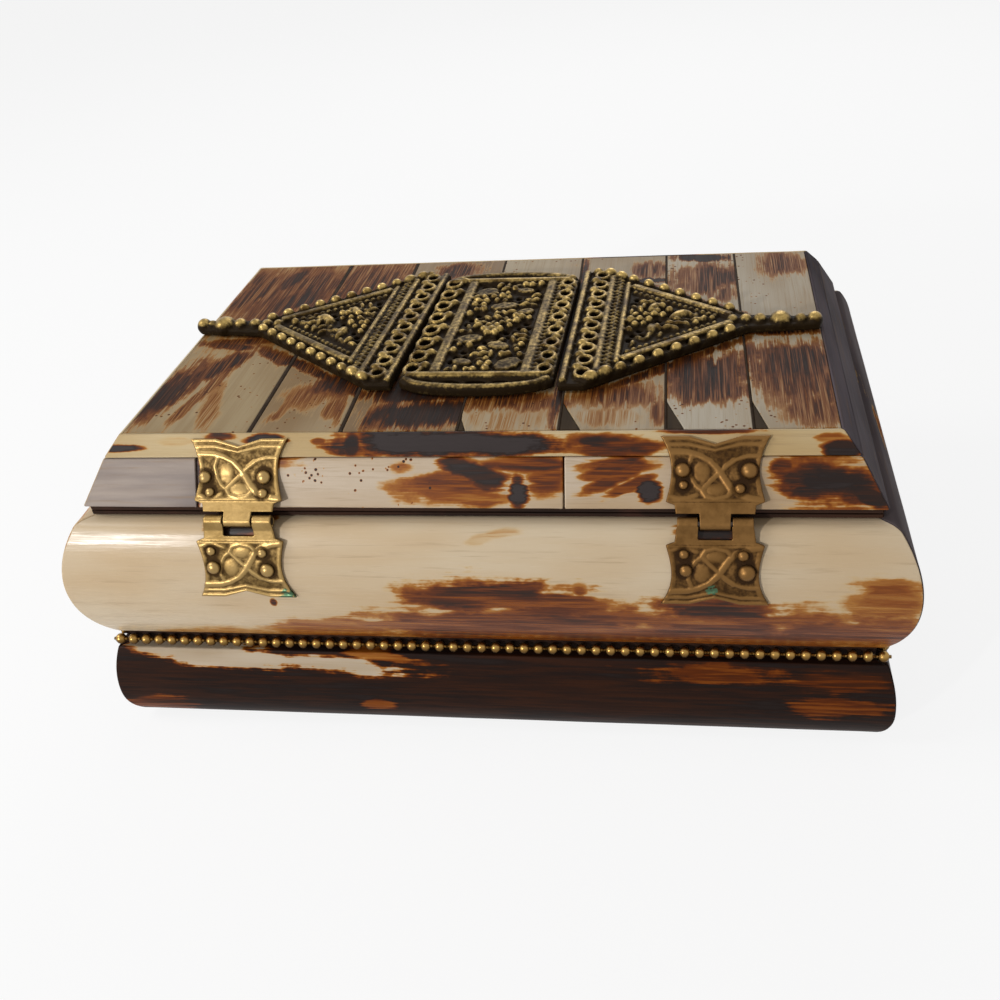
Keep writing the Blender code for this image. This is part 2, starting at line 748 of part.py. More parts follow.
def pierced_plate(outline, holes):
    """A flat plate with holes through it, filled between its loops and thickened upwards."""
    shape = bmesh.new()
    for loop in [outline] + holes:
        corners = [shape.verts.new((x, y, 0.0)) for x, y in loop]
        for first, second in zip(corners, corners[1:] + corners[:1]):
            shape.edges.new((first, second))
    bmesh.ops.triangle_fill(shape, use_beauty=True, use_dissolve=False, edges=shape.edges[:])
    raised = bmesh.ops.extrude_face_region(shape, geom=shape.faces[:])
    tops = [part for part in raised["geom"] if isinstance(part, bmesh.types.BMVert)]
    bmesh.ops.translate(shape, verts=tops, vec=(0, 0, casting_plate))
    return shape


def add_bar(relief, start, end, width, top):
    """A raised bar with a narrower crest, rooted in the plate."""
    start, end = Vector((*start, 0)), Vector((*end, 0))
    across = (end - start).normalized().cross(Vector((0, 0, 1))) * (width / 2)
    root = Vector((0, 0, casting_plate * 0.5))
    crest = Vector((0, 0, top))
    rings = [[p - across + root, p + across + root, p + across * 0.6 + crest, p - across * 0.6 + crest]
             for p in (start, end)]
    add_loft(relief, rings)


def add_bead_line(relief, start, end, radius, pitch):
    """A row of beads between two places, half sunk in the plate."""
    start, end = Vector((*start, 0)), Vector((*end, 0))
    run = end - start
    count = max(2, int(run.length / pitch) + 1)
    middle = (start + end) / 2 + Vector((0, 0, casting_plate + radius * 0.35))
    rings = bead_rings(count, run.length / (count - 1), radius, radius * 0.45)
    add_turned(relief, middle, run.normalized(), rings, 6, floor=casting_plate * 0.45)


def add_leaf(relief, centre, length, width, turn, top):
    """A pointed leaf with a ridge."""
    along = Vector((math.cos(turn), math.sin(turn), 0))
    across = Vector((-along.y, along.x, 0))
    middle = Vector((*centre, casting_plate * 0.4))
    foot = [middle + along * length / 2, middle + across * width / 2, middle - along * length / 2,
            middle - across * width / 2]
    crest = [middle.lerp(point, 0.45) + Vector((0, 0, top - casting_plate * 0.4)) for point in foot]
    add_loft(relief, [foot, crest])


def cast(word, outline, holes, relief, look=old_brass_look):
    """Fuse a plate with its relief and lay it on the lid."""
    name = "ornament_" + word
    item = add_object(name, pierced_plate(outline, holes), look)
    raised = add_object(name + "_relief", relief, look)
    raised.hide_render = True
    raised.display_type = "WIRE"
    raised.parent = item
    fuse = item.modifiers.new("fuse_relief", "BOOLEAN")
    fuse.operation = "UNION"
    fuse.object = raised
    fuse.use_self = True
    item.location = (0, casting_places[word], casting_base)
    item.rotation_euler.z = casting_turns[word]
    return item


def make_centre_casting():
    """An oblong with bowed ends: rows of beads down both sides, bars inside them, and leaves in the middle.
    Places and sizes of its pattern are shares of its half width and half depth."""
    half, deep = centre_half_width, centre_half_depth
    grain = min(half, deep * 0.56)
    corner = deep - centre_end_bow
    outline = []
    for sign in (1, -1):
        for step in range(9):
            t = 1 - step / 4
            outline.append((sign * t * half, sign * (corner + centre_end_bow * math.sqrt(max(0, 1 - t * t)))))
    beam = corner - casting_bar_width
    column = half - casting_bead_radius - 0.05 * half
    bars = (-0.54 * half, 0.60 * half)
    eyes = int(2 * beam / casting_bead_pitch)
    holes = []
    for bar in bars:
        middle = math.copysign((abs(bar) + casting_bar_width / 2 + column - casting_bead_radius) / 2, bar)
        for i in range(eyes):
            holes.append(ellipse(middle, (i - (eyes - 1) / 2) * casting_bead_pitch, 0.042 * grain, 0.08 * grain, 6))
    for sign in (-1, 1):
        for share in (-0.48, -0.16, 0.16, 0.48):
            holes.append(ellipse(share * half, sign * (corner + 0.1 * centre_end_bow), 0.10 * grain, 0.042 * grain, 6))
    for x, y, wide, long in ((-0.26, 0.50, 0.11, 0.14), (0.32, 0.50, 0.11, 0.14), (-0.36, 0.20, 0.07, 0.13),
                             (0.40, 0.18, 0.07, 0.13), (-0.34, -0.24, 0.08, 0.13), (0.36, -0.26, 0.08, 0.13),
                             (0.04, -0.54, 0.12, 0.09), (0.04, 0.26, 0.07, 0.08)):
        holes.append(ellipse(x * half, y * deep, wide * grain, long * grain))
    relief = bmesh.new()
    for sign in (-1, 1):
        add_bead_line(relief, (sign * column, -beam), (sign * column, beam), casting_bead_radius, casting_bead_pitch)
        add_bar(relief, (-column, sign * beam), (column, sign * beam), casting_bar_width, casting_rise * 0.9)
    for bar in bars:
        add_bar(relief, (bar, -beam), (bar, beam), casting_bar_width, casting_rise)
    for x, y, length, width, turn in ((-0.28, 0.64, 0.36, 0.20, 0), (0.30, 0.66, 0.34, 0.18, 30), (0.06, 0.38, 0.42, 0.18, 10),
                                      (0.02, 0.06, 0.44, 0.20, -30), (-0.26, -0.10, 0.34, 0.20, 0), (0.22, -0.14, 0.34, 0.18, 40),
                                      (-0.20, -0.42, 0.40, 0.18, 35), (0.34, -0.62, 0.36, 0.22, 0), (-0.22, -0.66, 0.36, 0.18, 10)):
        add_leaf(relief, (x * half, y * deep), length * grain, width * grain, math.radians(turn), casting_rise * 0.9)
    cast("centre", outline, holes, relief)


def make_side_casting(word, sign):
    """A triangle whose base stands beside the centre casting and whose tip ends in turned beads.
    Places along it are shares of its length, and sizes of its pattern are shares of its grain."""
    base, length, deep = side_casting_start, side_casting_length, side_half_depth
    grain = min(length, deep * 1.9)
    shoulder = base + 0.09 * length
    neck = base + 0.72 * length
    tip = base + length

    def edge(x):
        """Half depth of the casting at a place along it."""
        share = min(1.0, max(0.0, (x - shoulder) / (neck - shoulder)))
        return deep + (side_neck_half - deep) * share

    def place(share, depth_share):
        x = base + share * length
        return (sign * x, depth_share * edge(x))

    outline = [(base, -deep), (shoulder, -deep), (neck, -side_neck_half), (tip, -side_neck_half * 0.7),
               (tip, side_neck_half * 0.7), (neck, side_neck_half), (shoulder, deep), (base, deep)]
    lean = math.atan2(deep - side_neck_half, neck - shoulder)
    holes = []
    for side in (-1, 1):
        for i in range(5):
            x, y = place(0.22 + 0.075 * i, side * (0.74 - 0.02 * i))
            holes.append(ellipse(x, y, 0.022 * grain, 0.012 * grain, 6, turn=-sign * side * lean))
    for depth_share in (-0.27, 0.0, 0.27):
        holes.append(ellipse(*place(0.225, depth_share), 0.016 * grain, 0.024 * grain, 6))
    holes.append(ellipse(*place(0.43, 0.0), 0.030 * grain, 0.022 * grain, 6))
    relief = bmesh.new()
    column = sign * (base + casting_bead_radius * 1.2)
    add_bead_line(relief, (column, -deep + casting_bead_radius * 1.3), (column, deep - casting_bead_radius * 1.3),
                  casting_bead_radius, casting_bead_pitch)
    for share, reach in ((0.11, 0.86), (0.165, 0.80)):
        x, y = place(share, reach)
        add_bar(relief, (x, -y), (x, y), casting_bar_width * 0.85, casting_rise)
    for side in (-1, 1):
        add_bead_line(relief, place(0.155, side * 0.91), place(0.66, side * 0.72), casting_bead_radius * 0.9,
                      casting_bead_pitch * 0.82)
        add_bar(relief, place(0.22, side * 0.56), place(0.58, side * 0.34), casting_bar_width * 0.85, casting_rise * 0.85)
    add_leaf(relief, place(0.30, 0.0), 0.19 * grain, 0.075 * grain, math.pi / 2, casting_rise)
    add_leaf(relief, place(0.37, 0.0), 0.09 * grain, 0.10 * grain, 0.0, casting_rise * 0.9)
    add_leaf(relief, place(0.50, 0.0), 0.09 * grain, 0.045 * grain, 0.0, casting_rise * 0.9)
    run = tip - neck + 0.03 * length
    turned_tip = []
    for share, radius in ((0.0, 0.6), (0.17, 0.95), (0.29, 0.55), (0.39, 0.95), (0.47, 0.6), (0.63, 1.45), (0.78, 0.55),
                          (0.85, 0.8), (0.89, 0.6), (0.95, 1.1), (1.0, 0.5)):
        turned_tip.append((tip - run + share * run, radius * casting_bead_radius))
    middle = Vector((0, 0, casting_plate + 0.25 * casting_bead_radius))
    add_turned(relief, middle, Vector((sign, 0, 0)), turned_tip, 8, floor=casting_plate * 0.4)
    cast(word, [(sign * x, y) for x, y in outline], holes, relief)


def make_box():
    clear_scene()
    make_base()
    make_bead_strips()
    make_lid_frame()
    make_lid_bone()
    make_slips()
    make_hinges()
    make_clasp()
    make_centre_casting()
    make_side_casting("left", -1)
    make_side_casting("right", 1)


make_box()
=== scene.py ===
import math

import bmesh
import bpy
import numpy as np
from mathutils import Matrix, Vector, noise


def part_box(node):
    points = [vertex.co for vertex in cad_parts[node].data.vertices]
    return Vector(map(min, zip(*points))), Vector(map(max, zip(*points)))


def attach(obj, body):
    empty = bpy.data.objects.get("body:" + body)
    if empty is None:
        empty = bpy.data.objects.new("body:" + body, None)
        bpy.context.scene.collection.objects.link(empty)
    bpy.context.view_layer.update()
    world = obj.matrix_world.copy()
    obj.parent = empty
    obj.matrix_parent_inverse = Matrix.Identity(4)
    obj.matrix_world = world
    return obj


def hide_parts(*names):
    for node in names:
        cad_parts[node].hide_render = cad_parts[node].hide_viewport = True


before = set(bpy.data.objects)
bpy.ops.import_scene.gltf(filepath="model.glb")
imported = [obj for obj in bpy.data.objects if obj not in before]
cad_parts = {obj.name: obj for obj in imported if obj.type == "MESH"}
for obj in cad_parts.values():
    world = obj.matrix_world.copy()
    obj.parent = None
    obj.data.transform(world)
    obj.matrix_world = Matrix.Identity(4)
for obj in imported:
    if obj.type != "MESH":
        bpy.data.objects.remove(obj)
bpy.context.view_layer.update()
mm = 0.001


# The view: the box stands on a pale sheet of paper with its hinged back towards the camera, under
# a broad lamp at the left, one behind for the lid, a small one on the hinge side and soft light all around.

def tone(red, green, blue):
    """A colour as it is seen on screen, 0 to 255, in the linear form that a shader takes."""
    return tuple((c / 255 / 12.92 if c <= 10 else ((c / 255 + 0.055) / 1.055) ** 2.4)
                 for c in (red, green, blue)) + (1.0,)


def feed(node, inputs):
    """Give each input of a node a value, or link it to another node's output."""
    for socket, value in inputs.items():
        if isinstance(value, bpy.types.NodeSocket):
            node.id_data.links.new(value, node.inputs[socket])
        else:
            node.inputs[socket].default_value = value


def add_node(tree, kind, inputs=None, **settings):
    """A node with its settings and its inputs."""
    made = tree.nodes.new(kind)
    for key, value in settings.items():
        setattr(made, key, value)
    feed(made, inputs or {})
    return made


def math_of(tree, operation, first, second):
    return add_node(tree, "ShaderNodeMath", {0: first, 1: second}, operation=operation).outputs[0]


def seen_rays(tree):
    """1 for the rays that see the background: the camera's, mirrored ones and those through something."""
    rays = add_node(tree, "ShaderNodeLightPath").outputs
    seen = math_of(tree, "MAXIMUM", rays["Is Camera Ray"], rays["Is Glossy Ray"])
    return math_of(tree, "MAXIMUM", seen, rays["Is Transmission Ray"])


def add_object(name, data):
    item = bpy.data.objects.new(name, data)
    bpy.context.collection.objects.link(item)
    return item


def repaint(mesh, finish):
    mesh.materials.clear()
    mesh.materials.append(finish)


camera = add_object("camera", bpy.data.cameras.new("camera"))
camera_place = Vector((38.617, -183.949, 150.242)) * mm
camera_turn = Matrix(((0.989099, -0.002786, 0.147228), (0.121908, 0.576311, -0.808087),
                      (-0.082598, 0.817226, 0.570368)))
camera.matrix_world = Matrix.Translation(camera_place) @ camera_turn.to_4x4()
camera.data.lens = 37.705
camera.data.sensor_width = 36.0
camera.data.shift_x = -0.04
camera.data.clip_start = 0.01
bpy.context.scene.camera = camera
bpy.context.scene.view_settings.view_transform = "Standard"

white = (1.0, 1.0, 1.0, 1.0)
paper_glow, paper_half = 0.86, 3.0
paper = bpy.data.materials.new("paper")
paper.use_nodes = True
tree = paper.node_tree
matt = tree.nodes["Principled BSDF"]
feed(matt, {"Base Color": (0.86, 0.86, 0.86, 1.0), "Roughness": 0.9})
glow = add_node(tree, "ShaderNodeEmission", {"Color": white, "Strength": 1.0})
blend = add_node(tree, "ShaderNodeMixShader", {0: math_of(tree, "MULTIPLY", seen_rays(tree), paper_glow),
                                               1: matt.outputs[0], 2: glow.outputs[0]})
feed(tree.nodes["Material Output"], {"Surface": blend.outputs[0]})
floor_mesh = bpy.data.meshes.new("paper_sheet")
floor_mesh.from_pydata([(paper_half * x, paper_half * y, 0) for x, y in ((-1, -1), (1, -1), (1, 1), (-1, 1))],
                       [], [(0, 1, 2, 3)])
floor_mesh.materials.append(paper)
floor = add_object("paper_sheet", floor_mesh)

for name, place, target, size, power in (
        ("left_lamp", (-0.42, -0.10, 0.42), (0.0, 0.0, 0.03), 0.22, 1.2),
        ("back_lamp", (0.02, 0.50, 0.42), (0.0, 0.0, 0.05), 0.30, 0.8),
        ("hinge_side_lamp", (-0.462, -0.679, 0.283), (0.0, 0.0, 0.03), 0.036, 3.1)):
    lamp = add_object(name, bpy.data.lights.new(name, "AREA"))
    lamp.data.size = size
    lamp.data.energy = power
    lamp.location = place
    lamp.rotation_euler = (Vector(target) - Vector(place)).to_track_quat("-Z", "Y").to_euler()

world = bpy.data.worlds.new("room")
world.use_nodes = True
tree = world.node_tree
level = add_node(tree, "ShaderNodeMapRange", {0: seen_rays(tree), 3: 0.26, 4: 1.0})
feed(tree.nodes["Background"], {"Color": white, "Strength": level.outputs[0]})
bpy.context.scene.world = world


# The carcass: walls, lid rails, lid panel and plinth board of a plain brown softwood, glued and pinned.
# It shows at the seam under the lid and round the rims when the box is open.

def new_finish(name, roughness, metallic=0.0):
    """An empty material with its tree, its shader and its Object coordinates."""
    finish = bpy.data.materials.new(name)
    finish.use_nodes = True
    tree = finish.node_tree
    shader = tree.nodes["Principled BSDF"]
    feed(shader, {"Roughness": roughness, "Metallic": metallic})
    return finish, tree, shader, add_node(tree, "ShaderNodeTexCoord").outputs["Object"]


def grain_noise(tree, spot, scale, detail=3.0, roughness=0.5, offset=(0, 0, 0)):
    """Noise from 0 to 1 with a number of features for each metre, the same or its own along each axis."""
    scale = scale if isinstance(scale, (list, tuple)) else (scale, scale, scale)
    stretched = add_node(tree, "ShaderNodeMapping", {"Vector": spot, "Location": offset, "Scale": scale})
    return add_node(tree, "ShaderNodeTexNoise", {"Vector": stretched.outputs[0], "Scale": 1.0, "Detail": detail,
                                                "Roughness": roughness}).outputs["Fac"]


def span(tree, value, low, high, to_low=0.0, to_high=1.0):
    """Carry a value softly from one range to another."""
    return add_node(tree, "ShaderNodeMapRange", {0: value, 1: low, 2: high, 3: to_low, 4: to_high},
                    interpolation_type="SMOOTHSTEP").outputs[0]


def mixed(tree, share, first, second):
    """Mix two colours."""
    return add_node(tree, "ShaderNodeMix", {0: share, 6: first, 7: second}, data_type="RGBA").outputs[2]


def add_bump(tree, shader, height, depth):
    """Raise the surface by a height of 0 to 1 over a depth in metres."""
    bump = add_node(tree, "ShaderNodeBump", {"Height": height, "Distance": depth, "Strength": 1.0})
    feed(shader, {"Normal": bump.outputs[0]})


def two_tone_finish(name, roughness, scale, detail, first, second, metallic=0.0, shine=0.5):
    finish, tree, shader, spot = new_finish(name, roughness, metallic)
    cloudy = mixed(tree, grain_noise(tree, spot, scale, detail), tone(*first), tone(*second))
    feed(shader, {"Base Color": cloudy, "Specular IOR Level": shine})
    return finish


def wood_finish(name, along):
    finish, tree, shader, spot = new_finish(name, 0.62)
    scale = [700.0, 700.0, 700.0]
    scale[along] = 30.0
    lines = grain_noise(tree, spot, scale, 4.0, 0.6)
    colour = mixed(tree, span(tree, lines, 0.35, 0.7), tone(34, 23, 18), tone(62, 40, 29))
    dust = span(tree, grain_noise(tree, spot, 160.0, 4.0), 0.55, 0.75, 0.0, 0.45)
    feed(shader, {"Base Color": mixed(tree, dust, colour, tone(72, 44, 34)), "Specular IOR Level": 0.15})
    add_bump(tree, shader, lines, 0.00006)
    return finish


wood_along_x = wood_finish("wood_along_x", 0)
wood_along_y = wood_finish("wood_along_y", 1)
for node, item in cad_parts.items():
    if node.startswith(("wall_", "lid_rail_")) and node != "wall_lining" or node in ("lid_panel", "plinth_board"):
        repaint(item.data, wood_along_y if node.endswith(("left", "right")) else wood_along_x)


# The linings: deep red cotton velvet glued to the floor, round the walls and inside the lid, and felt underneath.
# Each is a thin padded sheet with soft edges and a slightly uneven pile.

def hand_over(item, body, stands_for=()):
    """Let a piece ride on a body and stand for CAD nodes."""
    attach(item, body)
    if stands_for:
        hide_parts(*stands_for)


def put_piece(name, points, faces, finish, body, stands_for=(), bevel=0.0, segments=3, relief=None):
    """A mesh piece from points in millimetres. Relief is its own value for each point, which a finish can read."""
    mesh = bpy.data.meshes.new(name)
    mesh.from_pydata([(p[0] * mm, p[1] * mm, p[2] * mm) for p in points], [], faces)
    if relief is not None:
        mesh.attributes.new("relief", "FLOAT", "POINT").data.foreach_set("value", relief)
    shape = bmesh.new()
    shape.from_mesh(mesh)
    bmesh.ops.remove_doubles(shape, verts=shape.verts, dist=0.000001)
    bmesh.ops.recalc_face_normals(shape, faces=shape.faces)
    shape.to_mesh(mesh)
    shape.free()
    mesh.shade_smooth()
    mesh.materials.append(finish)
    item = add_object(name, mesh)
    if bevel:
        edge = item.modifiers.new("worn_edges", "BEVEL")
        edge.width = bevel * mm
        edge.segments = segments
        edge.limit_method = "ANGLE"
        edge.angle_limit = math.radians(35)
        edge.harden_normals = True
    hand_over(item, body, stands_for)


def skin(rings, closed=False):
    """The faces between rings of equal count, which close up on themselves or end in a face each."""
    count = len(rings[0])
    faces = [(a[i], a[(i + 1) % count], b[(i + 1) % count], b[i])
             for a, b in zip(rings, rings[1:] + (rings[:1] if closed else [])) for i in range(count)]
    return faces if closed else faces + [tuple(rings[0][::-1]), tuple(rings[-1])]


def sheet_faces(columns, rows):
    """The faces of a closed sheet whose two sides are grids of points, each listed column by column."""
    step, layer = rows + 1, (columns + 1) * (rows + 1)
    faces = []
    for i in range(columns):
        for j in range(rows):
            a = i * step + j
            faces.append((a, a + step, a + step + 1, a + 1))
            faces.append((layer + a + 1, layer + a + step + 1, layer + a + step, layer + a))
    rim = [i * step for i in range(columns)] + [columns * step + j for j in range(rows)]
    rim += [i * step + rows for i in range(columns, 0, -1)] + list(range(rows, 0, -1))
    return faces + [(a, a + layer, b + layer, b) for a, b in zip(rim, rim[1:] + rim[:1])]


def wobble(point, size, seed):
    """A smooth hand-made unevenness between 0 and 1."""
    return 0.5 + 0.5 * noise.noise(Vector((point[0] / size + seed, point[1] / size - seed, point[2] / size)))


def velvet_finish(name, deep, light):
    finish, tree, shader, spot = new_finish(name, 0.9)
    crush = span(tree, grain_noise(tree, spot, (55.0, 55.0, 80.0), 3.0, 0.6), 0.4, 0.65)
    pile = grain_noise(tree, spot, 2600.0, 2.0)
    shadow = math_of(tree, "MULTIPLY", pile, 0.5)
    feed(shader, {"Base Color": mixed(tree, shadow, mixed(tree, crush, deep, light), tone(18, 3, 5)),
                  "Sheen Weight": 0.5, "Sheen Roughness": 0.35, "Sheen Tint": light})
    add_bump(tree, shader, pile, 0.00012)
    return finish


def velvet_sheet(node, half_x, half_y, low, high, finish, body, crown):
    """A sheet with rounded edges, whose crowned face looks up when crown is 1 and down when it is -1."""
    columns, rows, edge_width = 64, 44, 1.2
    points = []
    for face in (1, -1):
        for i in range(columns + 1):
            for j in range(rows + 1):
                x = half_x * (2 * i / columns - 1)
                y = half_y * (2 * j / rows - 1)
                edge = min(half_x - abs(x), half_y - abs(y), edge_width)
                soft = math.sqrt(max(0.0, 1 - (1 - edge / edge_width) ** 2))
                depth = (high - low) * (0.45 + 0.4 * soft + 0.15 * soft * wobble((x, y, 0), 9.0, 3.1))
                depth = depth if face == crown else 0.0
                points.append((x, y, low + depth if crown > 0 else high - depth))
    put_piece(node + "_cloth", points, sheet_faces(columns, rows), finish, body, (node,))


red_velvet = velvet_finish("red_velvet", tone(92, 12, 22), tone(148, 26, 38))
brown_felt = velvet_finish("brown_felt", tone(58, 36, 28), tone(84, 56, 42))
for node, body, finish, crown in (("floor_lining", "base", red_velvet, 1), ("lid_lining", "lid", red_velvet, -1),
                                  ("underside_felt", "base", brown_felt, 1)):
    low, high = (corner / mm for corner in map(Vector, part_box(node)))
    velvet_sheet(node, high.x, high.y, low.z, high.z, finish, body, crown)

low, high = (corner / mm for corner in map(Vector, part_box("wall_lining")))
points = []
for inset, z in ((0.0, low.z), (0.0, high.z - 0.5), (0.2, high.z - 0.12), (0.45, high.z), (0.7, high.z - 0.12),
                 (0.9, high.z - 0.5), (0.9, low.z)):
    x, y = high.x - inset, high.y - inset
    points += [(-x, -y, z), (x, -y, z), (x, y, z), (-x, y, z)]
rings = [range(first, first + 4) for first in range(0, len(points), 4)]
put_piece("wall_lining_cloth", points, skin(rings, closed=True), red_velvet, "base", ("wall_lining",))


# The plinth: four bullnosed camel bone strips glued round the base board and mitred at the corners.
# The dye was wiped on with a rag and burnt in, so that most of the strip is black-brown with ragged pale streaks.

side_lines = {
    "back": (Vector((1, 0, 0)), Vector((0, -1, 0)), 75.0, 50.0),
    "front": (Vector((-1, 0, 0)), Vector((0, 1, 0)), 75.0, 50.0),
    "left": (Vector((0, -1, 0)), Vector((-1, 0, 0)), 50.0, 75.0),
    "right": (Vector((0, 1, 0)), Vector((1, 0, 0)), 50.0, 75.0),
}
side_grain = {"back": "x", "front": "x", "left": "y", "right": "y"}
joint_gap = 0.05


def bone_strip(name, side, outline, finish, body, stands_for, start=None, end=None, seed=0.0, bevel=0.3):
    """A strip of an (inset, height) outline along one side, mitred or cut square, rubbed down a little unevenly."""
    along, out, half_length, half_out = side_lines[side]
    steps, deepest_rub, rub_size = 40, 0.10, 14.0
    count = len(outline)
    middle = Vector((sum(p[0] for p in outline) / count, sum(p[1] for p in outline) / count))
    points = []
    for step in range(steps + 1):
        for inset, height in outline:
            reach = half_length - inset - joint_gap
            low = -reach if start is None else start
            high = reach if end is None else end
            run = low + (high - low) * (step / steps)
            rub = deepest_rub * wobble((run, inset, height), rub_size, seed) if 0 < step < steps else 0.0
            inward = (middle - Vector((inset, height))).normalized() * rub
            points.append(along * run + out * (half_out - inset - inward.x) + Vector((0, 0, height + inward.y)))
    rings = [range(step * count, (step + 1) * count) for step in range(steps + 1)]
    put_piece(name, points, skin(rings), finish, body, stands_for, bevel)


def distance_from(tree, spot, place, size, turned=(0.0, 0.0, 0.0)):
    """How far a spot is from a place, in the half sizes of a turned ellipsoid, all in metres."""
    local = add_node(tree, "ShaderNodeMapping", {"Vector": spot, "Location": place, "Rotation": turned, "Scale": size},
                     vector_type="TEXTURE")
    return add_node(tree, "ShaderNodeVectorMath", {0: local.outputs[0]}, operation="LENGTH").outputs["Value"]


# the dye's colours from thin to thick: (amount, warm colour, cool colour)
dye_shades = ((0.08, (204, 168, 108), (166, 142, 108)), (0.2, (174, 116, 50), (134, 100, 62)),
              (0.34, (136, 72, 18), (104, 66, 32)), (0.5, (94, 42, 8), (76, 42, 18)),
              (0.66, (52, 26, 12), (46, 26, 14)), (0.84, (28, 17, 13), (28, 18, 14)), (1.0, (52, 44, 43), (50, 43, 41)))


def bone_finish(name, grain, plane, stains, seed, pale, deep, gloss=0.28, lift=0.0, spread=0.0, streaks=0.5,
                fine=1500.0, specks=0.0, warmth=1.0, shine=0.2):
    """Bone with its dye. Stains are strokes (u, v, half length, half width, strength, turn in degrees) in a plane's
    millimetres, and a negative strength wipes dye off. Strength runs from honey through burnt orange and brown
    to slate at 1. Lift dyes the whole strip, spread adds patches that no one placed, warmth is the dye's hue."""
    finish, tree, shader, spot = new_finish(name, gloss)
    pale, deep = tone(*pale), tone(*deep)
    along = "xyz".index(grain)

    def stretched(across, run, detail, roughness, shift):
        scale = [across] * 3
        scale[along] = run
        return grain_noise(tree, spot, scale, detail, roughness, (seed + shift, seed - shift, seed))

    def swing(value, depth):
        return math_of(tree, "MULTIPLY", math_of(tree, "SUBTRACT", value, 0.5), depth)

    hairs = stretched(fine, 70.0, 3.0, 0.6, 0.0)
    bands = stretched(0.24 * fine, 36.0, 3.0, 0.55, 3.0)
    blots = stretched(240.0, 120.0, 4.0, 0.6, 7.0)
    wide = stretched(70.0, 26.0, 2.0, 0.5, 11.0)
    rag = math_of(tree, "ADD", swing(hairs, 2.4 * streaks), swing(bands, 2.2 * streaks))
    rag = math_of(tree, "ADD", rag, swing(blots, 1.9))
    dye = lift
    if spread:
        patches = math_of(tree, "ADD", wide, math_of(tree, "MULTIPLY", rag, 0.16))
        dye = span(tree, patches, 0.62 - 0.22 * spread, 0.8 - 0.22 * spread, lift, max(lift, 0.8))
    u, v = ("xyz".index(letter) for letter in plane)
    across = 3 - u - v
    for stain in stains:
        x, y, wide_half, high_half, strength, turn = (tuple(stain) + (0.0,))[:6]
        place, size, turned = [0.0] * 3, [9.0] * 3, [0.0] * 3
        place[u], place[v] = x * mm, y * mm
        size[u], size[v] = wide_half * mm, high_half * mm
        turned[across] = math.radians(-turn if across == 1 else turn)
        away = math_of(tree, "ADD", distance_from(tree, spot, place, size, turned), rag)
        if strength > 0:
            dye = math_of(tree, "MAXIMUM", dye, span(tree, away, 0.6, 1.5, strength, 0.0))
        else:
            dye = math_of(tree, "MULTIPLY", dye, span(tree, away, 0.7, 1.2, 1.0 + strength, 1.0))
    uneven = math_of(tree, "MULTIPLY", span(tree, hairs, 0.34, 0.6, 1.0 - 0.6 * streaks, 1.0 + 0.25 * streaks),
                     span(tree, bands, 0.36, 0.6, 1.0 - 0.4 * streaks, 1.0 + 0.2 * streaks))
    uneven = add_node(tree, "ShaderNodeMix", {0: span(tree, dye, 0.62, 0.95), 2: uneven, 3: 1.0}).outputs[0]
    dye = math_of(tree, "MULTIPLY", dye, uneven)
    if specks:
        cells = add_node(tree, "ShaderNodeTexVoronoi", {"Vector": spot, "Scale": 900.0, "Randomness": 1.0})
        dots = span(tree, cells.outputs["Distance"], 0.14, 0.3, specks, 0.0)
        gate = span(tree, grain_noise(tree, spot, 210.0, 3.0, 0.6, (seed, 4, 0)), 0.52, 0.62)
        dye = math_of(tree, "MAXIMUM", dye, math_of(tree, "MULTIPLY", dots, gate))
    cream = mixed(tree, span(tree, wide, 0.36, 0.66), pale, deep)
    cream = mixed(tree, span(tree, bands, 0.4, 0.72, 0.0, 0.4), cream, deep)
    cream = mixed(tree, span(tree, hairs, 0.52, 0.76, 0.0, 0.7 * streaks), cream, tone(150, 122, 88))
    ramp = add_node(tree, "ShaderNodeValToRGB", {0: dye})
    stops = ramp.color_ramp.elements
    stops[0].position, stops[1].position = dye_shades[0][0], dye_shades[-1][0]
    for shade in dye_shades[1:-1]:
        stops.new(shade[0])
    for stop, (_, warm, cool) in zip(stops, dye_shades):
        stop.color = tone(*(cool[i] + (warm[i] - cool[i]) * warmth for i in range(3)))
    rough = math_of(tree, "ADD", span(tree, dye, 0.1, 0.7, gloss, gloss + 0.12),
                    span(tree, hairs, 0.3, 0.8, -0.04, 0.1))
    feed(shader, {"Base Color": mixed(tree, span(tree, dye, 0.02, 0.22), cream, ramp.outputs["Color"]),
                  "Roughness": rough, "Specular IOR Level": shine})
    surface = math_of(tree, "ADD", math_of(tree, "MULTIPLY", hairs, -0.5), math_of(tree, "MULTIPLY", blots, 0.6))
    add_bump(tree, shader, surface, 0.00006)
    return finish


# levels, and how far the strip stands in from the body at its widest and at its top
plinth_wide, plinth_top, plinth_foot, plinth_inset, plinth_top_inset = 8.0, 18.5, 0.3, 1.3, 3.3
plinth_rise, plinth_drop = plinth_top - plinth_wide, plinth_top_inset - plinth_inset
plinth_radius = (plinth_rise ** 2 + plinth_drop ** 2) / (2 * plinth_drop)
plinth_outline = []
for step in range(13):
    tuck = math.sin(math.radians(90 - step * 7.5))
    plinth_outline.append((plinth_inset + 5.0 * (1 - math.sqrt(1 - tuck * tuck)),
                           plinth_wide - (plinth_wide - plinth_foot) * tuck))
for step in range(1, 15):
    rise = plinth_rise * step / 14
    tuck = plinth_radius - math.sqrt(plinth_radius ** 2 - rise ** 2)
    plinth_outline.append((plinth_inset + tuck, plinth_wide + rise))
plinth_outline += [(7.0, plinth_top), (7.0, plinth_foot)]
